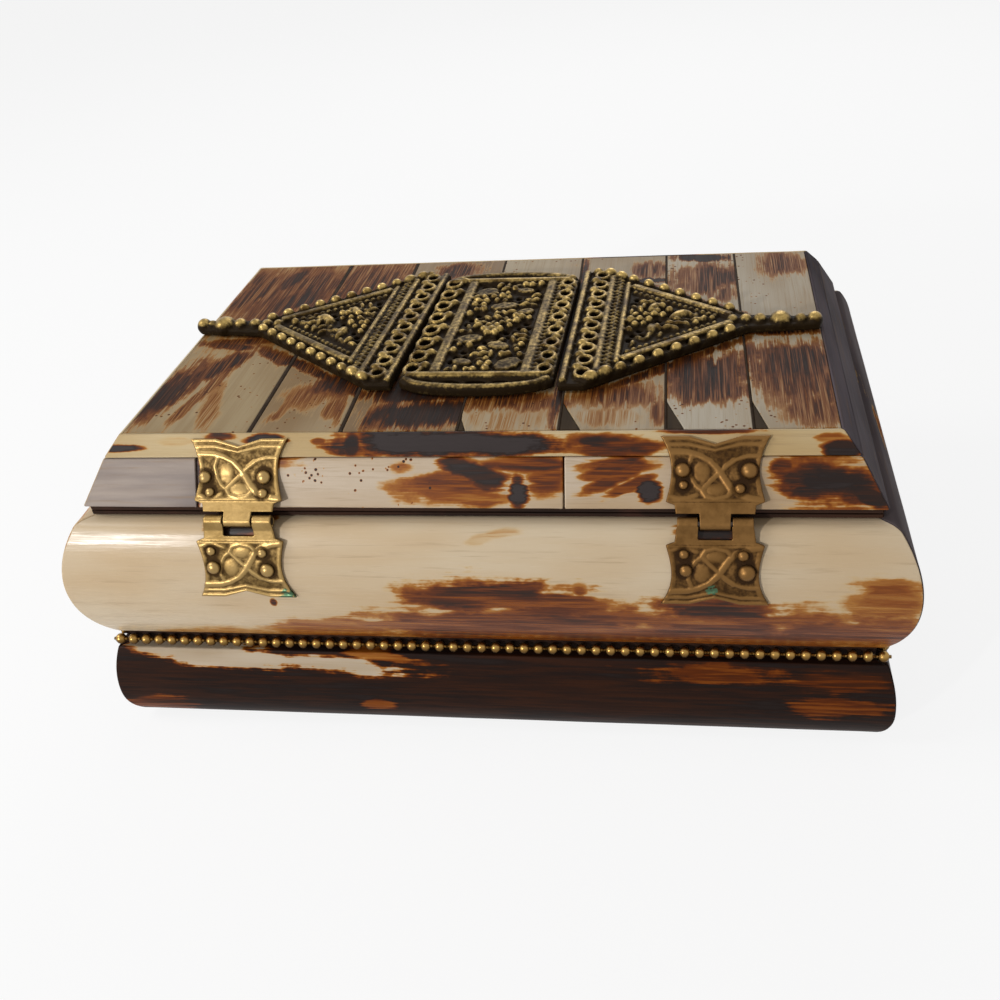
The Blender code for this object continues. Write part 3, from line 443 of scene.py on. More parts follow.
plinth_stains = {
    "back": [(-54.2, 17.7, 18.5, 2.5, -0.95, -6), (-27.9, 16.0, 16.8, 1.6, -0.95, -4),
             (-18.8, 17.7, 9.7, 0.9, -0.6, -7), (-65.3, 4.8, 8.7, 2.0, -0.3), (-21.3, 6.5, 3.4, 1.7, -0.5),
             (41.2, 16.0, 12.0, 2.2, -0.4), (63.1, 9.6, 10.7, 2.6, -0.4), (63.2, 15.0, 7.9, 1.9, -0.15)],
    "front": [(20, 14, 24, 3.0, -0.85), (-40, 10, 16, 4.0, -0.5)],
    "left": [(10, 14, 18, 3.0, -0.7), (-28, 9, 8, 4.0, -0.5)],
    "right": [(-12, 13, 20, 3.5, -0.6), (30, 10, 9, 4.0, -0.4)],
}
for number, side in enumerate(side_lines):
    grain = side_grain[side]
    finish = bone_finish("plinth_bone_%s_dye" % side, grain, grain + "z", plinth_stains[side], 3.0 + number * 5.3,
                         (200, 184, 162), (172, 152, 126), gloss=0.36, lift=0.8, streaks=0.45, shine=0.08)
    bone_strip("plinth_strip_" + side, side, plinth_outline, finish, "base", ("plinth_bone_" + side,),
               seed=number * 3.0)


# The body: bulging strips of camel bone, sanded round and polished, glued over the walls and mitred.
# Cream with wiped patches of burnt orange and brown, more of them along the lower edge.

bulge_radius, bulge_height = 21.5, 34.5
rim_height = 47.4


def bulge_inset(height, thickness=0.0):
    """How far the bulge, or its back at a thickness, stands in from the body's width at a height."""
    return bulge_radius - math.sqrt((bulge_radius - thickness) ** 2 - (height - bulge_height) ** 2)


body_outline = [(bulge_inset(z), z) for z in np.linspace(21.7, 46.6, 30)]
ledge = body_outline[-1][0]
body_outline += [(ledge + 0.3, 46.95), (ledge + 0.75, 47.2), (ledge + 1.2, 47.35), (ledge + 1.6, rim_height)]
body_outline += [(max(bulge_inset(z, 2.4), ledge + 2.1 if z > 47 else 0), z) for z in np.linspace(rim_height, 21.7, 9)]
body_stains = {
    "back": [(-0.7, 35.0, 9.3, 4.0, 0.56), (-1.7, 34.6, 7.3, 1.9, 0.64), (-4.9, 27.0, 14.0, 6.0, 0.5),
             (-24.6, 23.6, 13.7, 5.2, 0.36), (-47.0, 21.4, 14.8, 3.6, 0.22), (4.1, 35.8, 10.0, 3.3, 0.62),
             (17.4, 34.2, 7.2, 3.2, 0.54), (19.3, 36.6, 1.8, 1.6, 0.36), (12.1, 27.0, 24.0, 7.0, 0.52),
             (41.9, 32.9, 9.6, 2.4, 0.64), (43.7, 26.6, 15.1, 6.6, 0.5), (59.4, 27.5, 9.8, 5.6, 0.44),
             (69.0, 35.7, 6.5, 3.9, 0.34), (67.8, 26.5, 12.0, 5.4, 0.46), (6.4, 46.4, 3.6, 0.6, 0.15, 6),
             (2.4, 45.4, 2.6, 0.8, 0.14, 16), (30, 25.2, 16, 4.6, 0.46), (50, 24.6, 22, 4.0, 0.46),
             # the last two strokes on the next line darken the body under each hinge's knuckle window, as painted shade
             (-35.5, 33.3, 0.7, 0.9, 0.62), (-39.5, 47.2, 4.6, 1.7, 0.86), (41.7, 47.2, 4.6, 1.7, 0.86)],
    "front": [(-30, 31, 20, 3.4, 0.5), (26, 28, 16, 3.0, 0.46), (50, 38, 9, 3.0, 0.4), (0, 24, 44, 2.6, 0.42)],
    "left": [(-22, 32, 11, 3.6, 0.45), (20, 27, 14, 2.6, 0.42), (0, 24, 34, 2.4, 0.38)],
    "right": [],
}
# The right sides of the body and the lid are painted shade: a dark grey-violet bone, rough and with almost no shine.
right_shade_polish = {"gloss": 0.6, "shine": 0.02}
for number, side in enumerate(side_lines):
    grain = side_grain[side]
    # the right end's dark tones are painted shade
    pale, deep = ((94, 84, 85), (68, 59, 61)) if side == "right" else ((210, 191, 162), (202, 176, 140))
    polish = right_shade_polish if side == "right" else {"gloss": 0.25, "shine": 0.24}
    finish = bone_finish("body_bone_%s_dye" % side, grain, grain + "z", body_stains[side], 11.0 + number * 4.1,
                         pale, deep, spread=0.0 if side == "back" else 0.12, **polish)
    bone_strip("body_strip_" + side, side, body_outline, finish, "base", ("body_bone_" + side,), seed=5 + number * 3.0)


# The beaded strip: half-round brass bead wire pressed into the groove between the plinth and the body.
# Each bead is a small domed boss with a thin neck to the next one.

def brass_finish(name, bright, dull, dark, roughness=0.32, relief=None, verdigris=()):
    """Brass that is worn bright at the crown and darker at the foot. Relief is None, or the heights in metres of foot,
    shoulder and crest, or the name of an attribute that runs from 0 at the foot to 1 at the crown. Verdigris is a list
    of spots (x, y, z, half size) in millimetres."""
    finish, tree, shader, spot = new_finish(name, roughness, 1.0)
    bright, dull = tone(*bright), tone(*dull)
    clouds = grain_noise(tree, spot, 260.0, 5.0, 0.6)
    grime = grain_noise(tree, spot, 1300.0, 3.0, 0.6)
    colour = mixed(tree, span(tree, clouds, 0.36, 0.7), bright, dull)
    if relief is None:
        worn = span(tree, clouds, 0.3, 0.6, 0.7, 1.0)
    elif isinstance(relief, str):
        worn = add_node(tree, "ShaderNodeAttribute", attribute_name=relief).outputs["Fac"]
        colour = mixed(tree, span(tree, worn, 0.62, 0.95), colour, bright)
    else:
        height = add_node(tree, "ShaderNodeSeparateXYZ", {0: spot}).outputs["Z"]
        worn = span(tree, height, relief[0], relief[1])
        colour = mixed(tree, span(tree, height, relief[1], relief[2]), dull, bright)
    worn = math_of(tree, "ADD", worn, span(tree, grime, 0.3, 0.7, -0.14, 0.12))
    colour = mixed(tree, span(tree, worn, 0.05, 0.75), tone(*dark), colour)
    for x, y, z, size in verdigris:
        away = distance_from(tree, spot, (x * mm, y * mm, z * mm), (size * mm, size * mm, size * mm))
        near = math_of(tree, "ADD", span(tree, away, 0.3, 1.3, 1.0, 0.0), span(tree, grime, 0.3, 0.7, -0.5, 0.3))
        colour = mixed(tree, span(tree, near, 0.45, 0.8), colour, tone(72, 98, 74))
    feed(shader, {"Base Color": colour, "Metallic": span(tree, worn, 0.0, 0.4), "Specular IOR Level": 0.05,
                  "Roughness": span(tree, worn, 0.0, 1.0, roughness + 0.3, roughness)})
    add_bump(tree, shader, math_of(tree, "ADD", grime, clouds), 0.00004)
    return finish


bead_brass = brass_finish("bead_brass", (160, 126, 70), (100, 73, 36), (34, 21, 11), 0.3,
                          (18.9 * mm, 19.9 * mm, 20.9 * mm))
bead_pitch, bead_radius, bead_height, bead_inset = 2.62, 1.06, 20.1, 3.85

# geometry nodes: a row of round beads on a line, each with a neck behind it
bead_row = bpy.data.node_groups.new("bead_row", "GeometryNodeTree")
sockets = {}
for label, kind, value in (("Beads", "NodeSocketInt", 1), ("Pitch", "NodeSocketFloat", bead_pitch * mm),
                           ("Radius", "NodeSocketFloat", bead_radius * mm)):
    socket = bead_row.interface.new_socket(label, in_out="INPUT", socket_type=kind)
    socket.default_value = value
    sockets[label] = socket.identifier
bead_row.interface.new_socket("Beads out", in_out="OUTPUT", socket_type="NodeSocketGeometry")
given = add_node(bead_row, "NodeGroupInput").outputs
step = add_node(bead_row, "ShaderNodeCombineXYZ", {0: given["Pitch"]})
line = add_node(bead_row, "GeometryNodeMeshLine", {"Count": given["Beads"], "Offset": step.outputs[0]}, mode="OFFSET")
ball = add_node(bead_row, "GeometryNodeMeshUVSphere", {"Segments": 10, "Rings": 6, "Radius": given["Radius"]})
neck = add_node(bead_row, "GeometryNodeMeshCylinder", {
    "Vertices": 8, "Radius": math_of(bead_row, "MULTIPLY", given["Radius"], 0.3), "Depth": given["Pitch"]})
laid = add_node(bead_row, "GeometryNodeTransform", {"Geometry": neck.outputs["Mesh"],
                                                    "Rotation": (0.0, math.pi / 2, 0.0)})
both = add_node(bead_row, "GeometryNodeJoinGeometry", {0: ball.outputs["Mesh"]})
feed(both, {0: laid.outputs[0]})
placed = add_node(bead_row, "GeometryNodeInstanceOnPoints", {"Points": line.outputs[0], "Instance": both.outputs[0]})
whole = add_node(bead_row, "GeometryNodeRealizeInstances", {0: placed.outputs[0]})
smooth = add_node(bead_row, "GeometryNodeSetShadeSmooth", {"Geometry": whole.outputs[0]})
painted = add_node(bead_row, "GeometryNodeSetMaterial", {"Geometry": smooth.outputs[0], "Material": bead_brass})
add_node(bead_row, "NodeGroupOutput", {0: painted.outputs[0]})

for side, (along, out, half_length, half_out) in side_lines.items():
    row_half = half_length - bead_inset + (0.95 if side in ("back", "front") else -1.25)
    count = int((2 * row_half - 2 * bead_radius) / bead_pitch) + 1
    maker = add_object("bead_maker_" + side, bpy.data.meshes.new("bead_seed"))
    modifier = maker.modifiers.new("beads", "NODES")
    modifier.node_group = bead_row
    modifier[sockets["Beads"]] = count
    made = bpy.data.meshes.new_from_object(maker.evaluated_get(bpy.context.evaluated_depsgraph_get()))
    bpy.data.objects.remove(maker)
    start = along * (-(count - 1) / 2 * bead_pitch) + out * (half_out - bead_inset) + Vector((0, 0, bead_height))
    turn = Matrix((along, out, Vector((0, 0, -1)))).transposed().to_4x4()
    made.transform(Matrix.Translation(start * mm) @ turn)
    repaint(made, bead_brass)
    hand_over(add_object("bead_wire_" + side, made), "base", ("bead_strip_" + side,))


# The lid's sloping sides: two courses of flat camel bone, a wide lower one and a narrow upper one, glued to
# the rails. The back has the lower course in three lengths, butted with dark filler.

course_heights, course_setbacks = (49.7, 57.1, 60.5), (5.8, 10.1, 12.9)
lid_top = course_heights[2]


def lid_face(height):
    """The lid's setback from the body's width at a height."""
    return float(np.interp(height, course_heights, course_setbacks))


lower_outline = [(lid_face(z), z) for z in np.linspace(49.7, 57.1, 5)] + [(10.1 + 2.3, 57.1), (5.8 + 2.3, 49.7)]
upper_outline = [(lid_face(z), z) for z in np.linspace(57.2, lid_top, 4)]
upper_outline += [(13.4, lid_top), (13.4, 58.3), (12.4, 57.2)]
lower_places, butt_gap = (None, -47.5, 17.0, None), 0.12
lower_stains = (
    [],
    [(0.9, 55.5, 5.6, 1.3, 0.78, -12), (-2.1, 52.7, 8.5, 2.6, 0.45), (-10.3, 56.0, 2.4, 1.1, 0.3),
     (4.5, 54.0, 3.7, 1.8, 0.76), (9.9, 56.0, 8.0, 1.1, 0.6), (9.2, 52.2, 1.5, 2.4, 0.97),
     (14.5, 54.1, 3.6, 2.1, 0.46), (2.9, 51.1, 5.8, 1.0, 0.36), (-36.0, 57.0, 6.0, 1.2, 0.5),
     # the stroke on the next line darkens the butt joint along the left hinge's edge: a dark joint with a painted
     # shadow of the hinge
     (-47.4, 53.4, 0.6, 5.0, 0.8)],
    [(26.0, 54.4, 6.3, 1.0, 0.62, 21), (25.3, 55.7, 4.8, 1.2, 0.66, 16), (28.1, 53.1, 4.7, 0.8, 0.56, 22),
     (26.4, 56.0, 6.2, 1.2, 0.56), (30.9, 52.2, 1.7, 1.5, 0.97), (60.2, 53.7, 8.8, 3.2, 0.7),
     (61.2, 53.8, 6.5, 2.3, 0.86), (52.3, 55.6, 1.8, 1.2, 0.6), (65.5, 51.9, 4.0, 1.2, 0.8, -21)],
)
for number, (start, end) in enumerate(zip(lower_places, lower_places[1:])):
    place = str(number + 1)
    # The first, left length is painted an even violet grey: slate-dyed bone with a painted grey sheen over it, made
    # rougher.
    pale, deep = ((200, 182, 160), (184, 158, 126)) if number else ((164, 149, 137), (104, 94, 94))
    finish = bone_finish("lid_back_bone_" + place, "x", "xz", lower_stains[number], 31.0 + number * 3.7, pale, deep,
                         gloss=0.28 if number else 0.5, streaks=0.6, specks=0.85 if number == 1 else 0.0)
    bone_strip("lid_back_lower_" + place, "back", lower_outline, finish, "lid", ("lid_lower_back_" + place,),
               start and start + butt_gap, end and end - butt_gap, 20 + number, 0.25)
upper_back_stains = [(-62.0, 58.6, 4.6, 0.5, 0.97), (-51.4, 59.4, 3.8, 0.7, 0.16), (-43.0, 60.2, 3.0, 0.6, 0.6),
                     (-34.4, 59.7, 3.7, 0.8, 0.97), (-25.4, 59.4, 1.4, 0.5, 0.4), (-2.2, 58.9, 18.2, 1.5, 0.99),
                     (-19.3, 58.9, 1.6, 1.3, 0.8), (25.0, 58.8, 8.6, 1.6, 0.58), (21.7, 59.2, 3.1, 1.0, 0.7),
                     (30.1, 58.4, 3.6, 1.0, 0.62), (59.5, 59.6, 2.9, 0.6, 0.34), (61.5, 58.0, 2.7, 1.0, 0.84),
                     (40.0, 60.4, 8.0, 0.4, 0.6)]
lid_side_stains = {
    "front": [(-34, 54, 14, 2.2, 0.62), (20, 55, 18, 2.0, 0.56), (48, 53, 10, 2.0, 0.76)],
    "left": [(-24, 54, 10, 2.4, 0.6), (14, 53, 12, 2.2, 0.55)],
    "right": [],
}
for number, side in enumerate(side_lines):
    # The right side's courses are painted a dark grey-violet with a dull polish, as painted shade.
    grain, dark = side_grain[side], side == "right"
    polish = right_shade_polish if dark else {}
    if side != "back":
        pale, deep = ((90, 81, 85), (64, 56, 60)) if dark else ((208, 190, 162), (186, 162, 126))
        finish = bone_finish("lid_%s_lower_dye" % side, grain, grain + "z", lid_side_stains[side], 41.0 + number * 3.1,
                             pale, deep, spread=0.0 if dark else 0.15, **polish)
        bone_strip("lid_%s_lower" % side, side, lower_outline, finish, "lid", ("lid_lower_" + side,), seed=30 + number,
                   bevel=0.25)
    pale, deep = ((96, 87, 92), (56, 48, 53)) if dark else ((206, 185, 146), (186, 157, 110))
    finish = bone_finish("lid_%s_upper_dye" % side, grain, grain + "z", upper_back_stains if side == "back" else (),
                         53.0 + number * 2.3, pale, deep, spread=0.0 if side in ("back", "right") else 0.4, **polish)
    bone_strip("lid_%s_upper" % side, side, upper_outline, finish, "lid", ("lid_upper_" + side,), seed=40 + number,
               bevel=0.25)


# The top: seven slips of camel bone laid front to back over the panel, with slate-grey filler in the joints
# and three small horn wedges let into the joints at the hinged edge.

slip_low, slip_high = 58.3, lid_top
slip_reach, slip_limit = 36.55, 61.55
slip_joints = ((-38.1, -39.7), (-21.6, -24.0), (-1.3, -3.7), (16.0, 13.7), (33.7, 32.1), (47.9, 46.65))
joint_widths = (0.8, 0.7, 0.4, 0.4, 0.4, 0.4)
wedge_widths = {2: 1.2, 3: 3.4, 4: 2.7, 5: 2.0}
wedge_lengths = {2: 4.0, 3: 8.7, 4: 8.7, 5: 8.7}
slip_stains = (
    [(-50.0, 20.0, 16.0, 24.0, 0.46), (-57.3, 23.0, 7.9, 11.8, 0.56), (-51.3, 29.2, 6.5, 1.7, 0.76, 79),
     (-45.7, 17.0, 6.5, 7.2, 0.7), (-44.4, 24.9, 6.4, 8.4, 0.58), (-53.0, -12.1, 7.8, 3.0, 0.7, 51),
     (-59.4, -21.5, 11.9, 3.8, 0.74, 76), (-59.0, -24.3, 5.4, 3.0, 0.8, 74), (-52.0, -21.6, 12.7, 1.2, 0.5, 79),
     # the last two strokes on the next line run along the left casting's near edge, as grime and painted shadow
     (-48.8, -26.7, 8.4, 2.0, 0.3, -81), (-55.0, -3.2, 7.3, 1.5, 0.7, -13), (-42.4, -8.8, 6.7, 1.5, 0.7, -35)],
    [(-32.0, 24.0, 14.0, 20.0, 0.46), (-33.9, 22.8, 9.9, 8.9, 0.56), (-30.1, 28.0, 8.1, 7.4, 0.52),
     (-27.4, -19.5, 4.4, 4.4, 0.7), (-30.0, -23.7, 5.3, 4.7, 0.36), (-35.1, -30.8, 4.5, 1.2, 0.4, 76),
     (-25.4, -28.8, 2.1, 3.4, 0.38), (-23.9, -28.3, 5.4, 0.8, 0.44, -84)],
    [(-14.3, 31.5, 5.0, 3.9, 0.62), (-9.4, -30.6, 8.8, 5.6, 0.84), (-16.1, -31.4, 3.4, 5.0, 0.56),
     (-11.7, -24.6, 9.4, 3.0, 0.82), (-12.2, -27.5, 1.6, 1.3, -0.5)],
    [(6.5, -26.9, 11.0, 3.2, 0.46), (6.9, -33.0, 9.5, 5.0, 0.16), (14.3, -31.0, 5.0, 0.7, 0.4, -86)],
    [(25.0, -25.2, 8.6, 4.2, 0.5), (32.1, -31.0, 1.5, 4.5, 0.42), (23.9, -32.3, 5.8, 3.4, 0.22),
     (28.3, 29.0, 3.9, 4.5, 0.54), (28.5, 23.3, 3.8, 1.2, 0.94, 4)],
    [(41.2, -17.5, 9.4, 6.6, 0.7), (41.4, -23.6, 8.4, 4.6, 0.6), (40.1, 34.8, 7.2, 2.2, 0.88, -5),
     (41.3, 23.7, 7.0, 8.2, 0.58), (44.4, 16.0, 2.2, 4.4, 0.5)],
    [(56.0, -13.0, 9.6, 7.2, 0.68), (56.6, -21.3, 9.0, 7.0, 0.56), (58.4, -30.0, 4.4, 6.2, 0.46),
     (60.0, -23.0, 2.0, 12.5, 0.54), (56.7, 30.1, 4.6, 6.2, 0.54)],
)
slip_tones = (((164, 144, 110), (138, 112, 76)), ((160, 138, 106), (134, 108, 74)), ((150, 128, 100), (122, 96, 66)),
              ((174, 158, 132), (146, 124, 96)), ((172, 156, 132), (144, 122, 92)), ((184, 173, 154), (168, 152, 128)),
              ((176, 164, 144), (158, 139, 113)))
# Dark strokes along the castings' edges and in the gaps between them: partly grime, partly painted shadow of the
# castings.
casting_grime_and_shadow = [(-14.9, 0, 1.1, 30, 0.86), (14.8, 0, 1.1, 30, 0.86), (-33.4, -14.4, 19, 1.5, 0.66, -37),
                 (33.8, -14.8, 19, 1.4, 0.64, 37), (-33.6, 16.0, 20, 1.4, 0.52, 37), (34.0, 16.4, 20, 1.4, 0.52, -37),
                 (0, -25.2, 14, 1.6, 0.6), (-54, -1.6, 9, 1.6, 0.6), (54, -1.8, 9, 1.6, 0.6)]
edges = ((-slip_limit, -slip_limit),) + slip_joints + ((slip_limit, slip_limit),)
for number, (start, end) in enumerate(zip(edges, edges[1:])):
    columns, rows = 8, 40
    left_gap = joint_widths[number - 1] / 2 if number else 0.0
    right_gap = joint_widths[number] / 2 if number < len(joint_widths) else 0.0
    points = []
    for height in (slip_high, slip_low):
        for i in range(columns + 1):
            for j in range(rows + 1):
                y = -slip_reach + 2 * slip_reach * j / rows
                left, right = (pair[0] + (pair[1] - pair[0]) * j / rows for pair in (start, end))
                left, right = left + left_gap, right - right_gap
                if number - 1 in wedge_widths:
                    run = wedge_lengths[number - 1] + 0.2
                    left += (wedge_widths[number - 1] + 0.1) * max(0.0, 1 - (y + slip_reach) / run)
                x = left + (right - left) * i / columns
                inside = height == slip_high and 0 < i < columns and 0 < j < rows
                dip = 0.07 * wobble((x, y, number * 7.0), 11.0, 2.0) if inside else 0.0
                points.append((x, y, height - dip))
    finish = bone_finish("top_slip_%d_dye" % (number + 1), "y", "xy", slip_stains[number] + casting_grime_and_shadow,
                         61.0 + number * 2.9, *slip_tones[number], gloss=0.45, streaks=0.85, fine=3800.0, specks=0.6,
                         warmth=0.45, shine=0.1)
    put_piece("top_bone_%d" % (number + 1), points, sheet_faces(columns, rows), finish, "lid",
              ("top_slip_%d" % (number + 1),), 0.18, 2)

filler = two_tone_finish("slate_filler", 0.75, 500.0, 3.0, (36, 28, 22), (72, 60, 50), shine=0.05)
points, faces = [], []
for (near, far), width in zip(slip_joints, joint_widths):
    first, half = len(points), width / 2 + 0.02
    reach = slip_reach + 0.1
    for z in (58.4, 60.42):
        points += [(near - half, -reach, z), (near + half, -reach, z), (far + half, reach, z), (far - half, reach, z)]
    faces += skin([range(first, first + 4), range(first + 4, first + 8)])
put_piece("joint_filler", points, faces, filler, "lid")

horn = two_tone_finish("horn", 0.6, (900.0, 90.0, 500.0), 4.0, (70, 55, 38), (34, 26, 17), shine=0.05)
for joint, width in wedge_widths.items():
    near, far = slip_joints[joint]
    run = wedge_lengths[joint]
    left = near + joint_widths[joint] / 2 + 0.05
    lean = (far - near) / (2 * slip_reach) * run
    corners = [(left + lean, -slip_reach + run), (left, -slip_reach), (left + width - 0.05, -slip_reach)]
    points = [(x, y, z) for z in (58.4, 60.47) for x, y in corners]
    put_piece("horn_point_%d" % joint, points, skin([range(3), range(3, 6)]), horn, "lid",
              ("horn_wedge_%d" % (joint - 2),) if joint > 2 else (), 0.12, 2)


# The hinges: butterfly hinges stamped from thin brass sheet, with a raised ribbon pattern inside a wavy rib.
# Their knuckles are rolled round an iron pin, and each leaf is held by four round-headed brass nails.

pin_iron = two_tone_finish("pin_iron", 0.42, 800.0, 4.0, (98, 92, 86), (60, 44, 34), metallic=1.0)
for node in ("hinge_left_pin", "hinge_right_pin", "clasp_pin"):
    repaint(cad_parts[node].data, pin_iron)

roll_radius, sheet, leaf_offset = 0.845, 0.45, 0.525
leaf_length, knuckle, knuckle_gap = 14.2, 2.45, 0.3
neck_shade = 0.72
box_half = 50.0
bulge_middle = Vector((box_half - bulge_radius, bulge_height))


def heading(turn):
    return Vector((math.cos(turn), math.sin(turn)))


def roll_point(barrel, face, turn, distance, way):
    """The rolled knuckle of a sheet, at a distance below zero, as (distance out, height) with its normal."""
    normal = heading(turn + way * face * distance / roll_radius)
    return barrel + normal * (face * roll_radius), normal


def on_slope(height):
    """The sheet's middle over the lid's slope at a height, with the way up and the normal there."""
    low, high = course_heights[1:] if height > course_heights[1] else course_heights[:2]
    run = Vector((lid_face(low) - lid_face(high), high - low)).normalized()
    normal = Vector((run.y, -run.x))
    return Vector((box_half - lid_face(height), height)) + normal * leaf_offset, run, normal


def lid_leaf_line(barrel, face):
    """Up from the barrel in a straight neck, then flat on the two courses of the slope."""
    landing, lower_run, lower_normal = on_slope(54.7)
    corner = on_slope(course_heights[1])[0]
    upper_run, upper_normal = on_slope(lid_top)[1:]
    back = barrel - landing
    neck = -heading(math.atan2(back.y, back.x) + face * math.asin(roll_radius / back.length))
    normal = Vector((neck.y, -neck.x))
    foot = barrel + normal * (face * roll_radius)
    neck_length = (landing - foot).length
    lower_end = neck_length + (corner - landing).length

    def line(distance):
        if distance < 0:
            return roll_point(barrel, face, math.atan2(normal.y, normal.x), distance, 1)
        if distance <= neck_length:
            return foot + neck * distance, normal
        if distance <= lower_end:
            return landing + lower_run * (distance - neck_length), lower_normal
        return corner + upper_run * (distance - lower_end), upper_normal

    return line


def base_leaf_line(barrel, face):
    """Down from the barrel in a straight neck, then round the bulge of the body."""
    to_barrel = barrel - bulge_middle
    reach = bulge_radius + leaf_offset
    turn = math.atan2(to_barrel.y, to_barrel.x) - math.acos((reach - face * roll_radius) / to_barrel.length)
    foot, landing = barrel + heading(turn) * (face * roll_radius), bulge_middle + heading(turn) * reach
    neck_length = (landing - foot).length

    def line(distance):
        if distance < 0:
            return roll_point(barrel, face, turn, distance, -1)
        if distance <= neck_length:
            return foot.lerp(landing, distance / neck_length), heading(turn)
        normal = heading(turn - (distance - neck_length) / reach)
        return bulge_middle + normal * reach, normal

    return line


def leaf_half_width(distance):
    """Half the leaf's width: a straight neck, a quick shoulder, a waist and a flared end."""
    if distance <= 3.0:
        return 6.1 + max(distance, 0.0) * 0.14
    if distance <= 3.6:
        return 6.52 + (7.9 - 6.52) * math.sin((distance - 3.0) / 0.6 * math.pi / 2)
    if distance <= 8.5:
        return 7.9 - 0.85 * math.sin((distance - 3.6) / 4.9 * math.pi / 2)
    return 7.05 + 1.75 * ((distance - 8.5) / 5.7) ** 2


def ridge(distance, half):
    """The rounded section of a raised rib."""
    return math.sqrt(max(0.0, 1 - (distance / half) ** 2))


# each rib is a path of (x, distance), its half width and its height; each field is an oval that is raised inside it
leaf_ribs = (
    (((-7.5, 11.7), (-4.7, 11.6), (-2.6, 11.3), (-0.9, 10.5), (0, 9.4), (1.2, 7.6), (2.3, 5.9), (3.7, 4.7), (5.8, 4.0),
      (7.3, 3.8)), 0.62, 1.0),
    (((7.3, 10.9), (5.3, 10.9), (3.3, 10.4), (1.9, 9.4), (0.9, 8.4), (-0.7, 6.9), (-2.1, 5.4), (-1.5, 4.4), (0, 4.0),
      (1.9, 4.4), (2.6, 5.2)), 0.42, 0.85),
    (((-7.2, 4.4), (-5.8, 4.0), (-4.4, 4.1), (-3.0, 4.6)), 0.4, 0.7),
    (((-3.7, 11.0), (-4.3, 9.4), (-3.9, 7.6), (-3.1, 6.2), (-2.2, 5.5)), 0.38, 0.75),
    (((1.0, 8.4), (1.6, 9.6), (3.0, 10.6)), 0.34, 0.7),
)
leaf_fields = ((-2.1, 8.4, 1.35, 1.8, 0.7), (0.2, 5.4, 1.7, 1.1, 0.75), (3.2, 7.9, 1.0, 1.1, 0.35))


def leaf_relief(x, distance, length, nails):
    """Height of the stamped pattern and its brightness, 0 to 1. The distance runs from the barrel to the end."""
    if distance < 3.4:
        return 0.0, neck_shade
    across = abs(x) / leaf_half_width(distance)
    from_end = length - distance
    high = max(0.55 * ridge(across - 0.97, 0.09), ridge(from_end - 0.3, 0.42), 0.8 * ridge(from_end - 1.35, 0.38),
               0.6 * ridge(distance - 3.7, 0.3))
    for path, half, rise in leaf_ribs:
        for (x1, d1), (x2, d2) in zip(path, path[1:]):
            if min(d1, d2) - 0.7 > distance or max(d1, d2) + 0.7 < distance:
                continue
            run_x, run_d = x2 - x1, d2 - d1
            share = min(1.0, max(0.0, ((x - x1) * run_x + (distance - d1) * run_d) / (run_x ** 2 + run_d ** 2)))
            away = math.hypot(x - x1 - run_x * share, distance - d1 - run_d * share)
            if away < half:
                high = max(high, rise * ridge(away, half))
    for cx, cd, rx, rd, rise in leaf_fields:
        high = max(high, rise * ridge(math.hypot((x - cx) / rx, (distance - cd) / rd), 1.0))
    shade = 0.34 + 0.66 * high
    for cx, cd, radius in nails:
        away = math.hypot(x - cx, distance - cd)
        shade -= 0.5 * max(0.0, 1 - abs(away - radius - 0.1) / 0.7)
        high *= min(1.0, max(0.0, (away - radius - 0.1) / 0.5))
    return high, max(0.0, shade)


def stamped_leaf(name, side, centre, line, kept, finish, body, stands_for, half_width=leaf_half_width,
                 length=leaf_length, relief=leaf_relief, notch=1.3, turned=None, nails=(), rise=0.32):
    """A dense sheet on a line, with its stamped pattern, and the rolled knuckles where kept says there is metal."""
    along, out, _, _ = side_lines[side]
    columns, rows, roll_rows, roll_length, back_shade = 96, 100, 18, 4.13, 0.6
    distances = [-roll_length * (1 - i / roll_rows) for i in range(roll_rows)]
    distances += list(np.arange(0.0, length + 0.001, length / rows))
    shares = list(np.linspace(-1, 1, columns + 1))
    points, faces, shades, index = [], [], [], {}

    def corner(i, j, face):
        key = (i, j, face)
        if key not in index:
            distance, share = distances[j], shares[i]
            x = share * half_width(max(distance, 0.0))
            reach = distance
            if notch and distance > length * 0.6:
                reach -= notch * max(0.0, 1 - abs(x) / 4.2) * (distance - length * 0.6) / (length * 0.4)
            place, normal = line(reach)
            flat_part = min(1.0, max(0.0, distance / 1.5))
            if face > 0:
                high, shade = relief(x, distance, length, nails) if distance > 0 else (0.0, neck_shade)
                lift = sheet / 2 - 0.33 * flat_part + rise * high
                if i in (0, columns) or j == len(distances) - 1:
                    lift -= 0.12
            else:
                lift, shade = -sheet / 2 - 0.17 * flat_part, back_shade
            flat = place + normal * lift
            index[key] = len(points)
            points.append(along * (x + centre) + out * flat.x + Vector((0, 0, flat.y)))
            shades.append(shade)
        return index[key]

    cells = set()
    for j in range(len(distances) - 1):
        distance = (distances[j] + distances[j + 1]) / 2
        for i in range(columns):
            x = (shares[i] + shares[i + 1]) / 2 * half_width(max(distance, 0.0))
            if kept(x, distance):
                cells.add((i, j))
    for i, j in cells:
        loop = [(i, j), (i + 1, j), (i + 1, j + 1), (i, j + 1)]
        faces.append([corner(*key, 1) for key in loop])
        faces.append([corner(*key, -1) for key in reversed(loop)])
        for k, other in enumerate(((i, j - 1), (i + 1, j), (i, j + 1), (i - 1, j))):
            if other not in cells:
                a, b = loop[k], loop[(k + 1) % 4]
                faces.append([corner(*a, 1), corner(*a, -1), corner(*b, -1), corner(*b, 1)])
    if turned:
        spin = Matrix.Translation(turned[0]) @ Matrix.Rotation(turned[1], 4, "X") @ Matrix.Translation(-turned[0])
        points = [spin @ point for point in points]
    put_piece(name, points, faces, finish, body, stands_for, relief=shades)


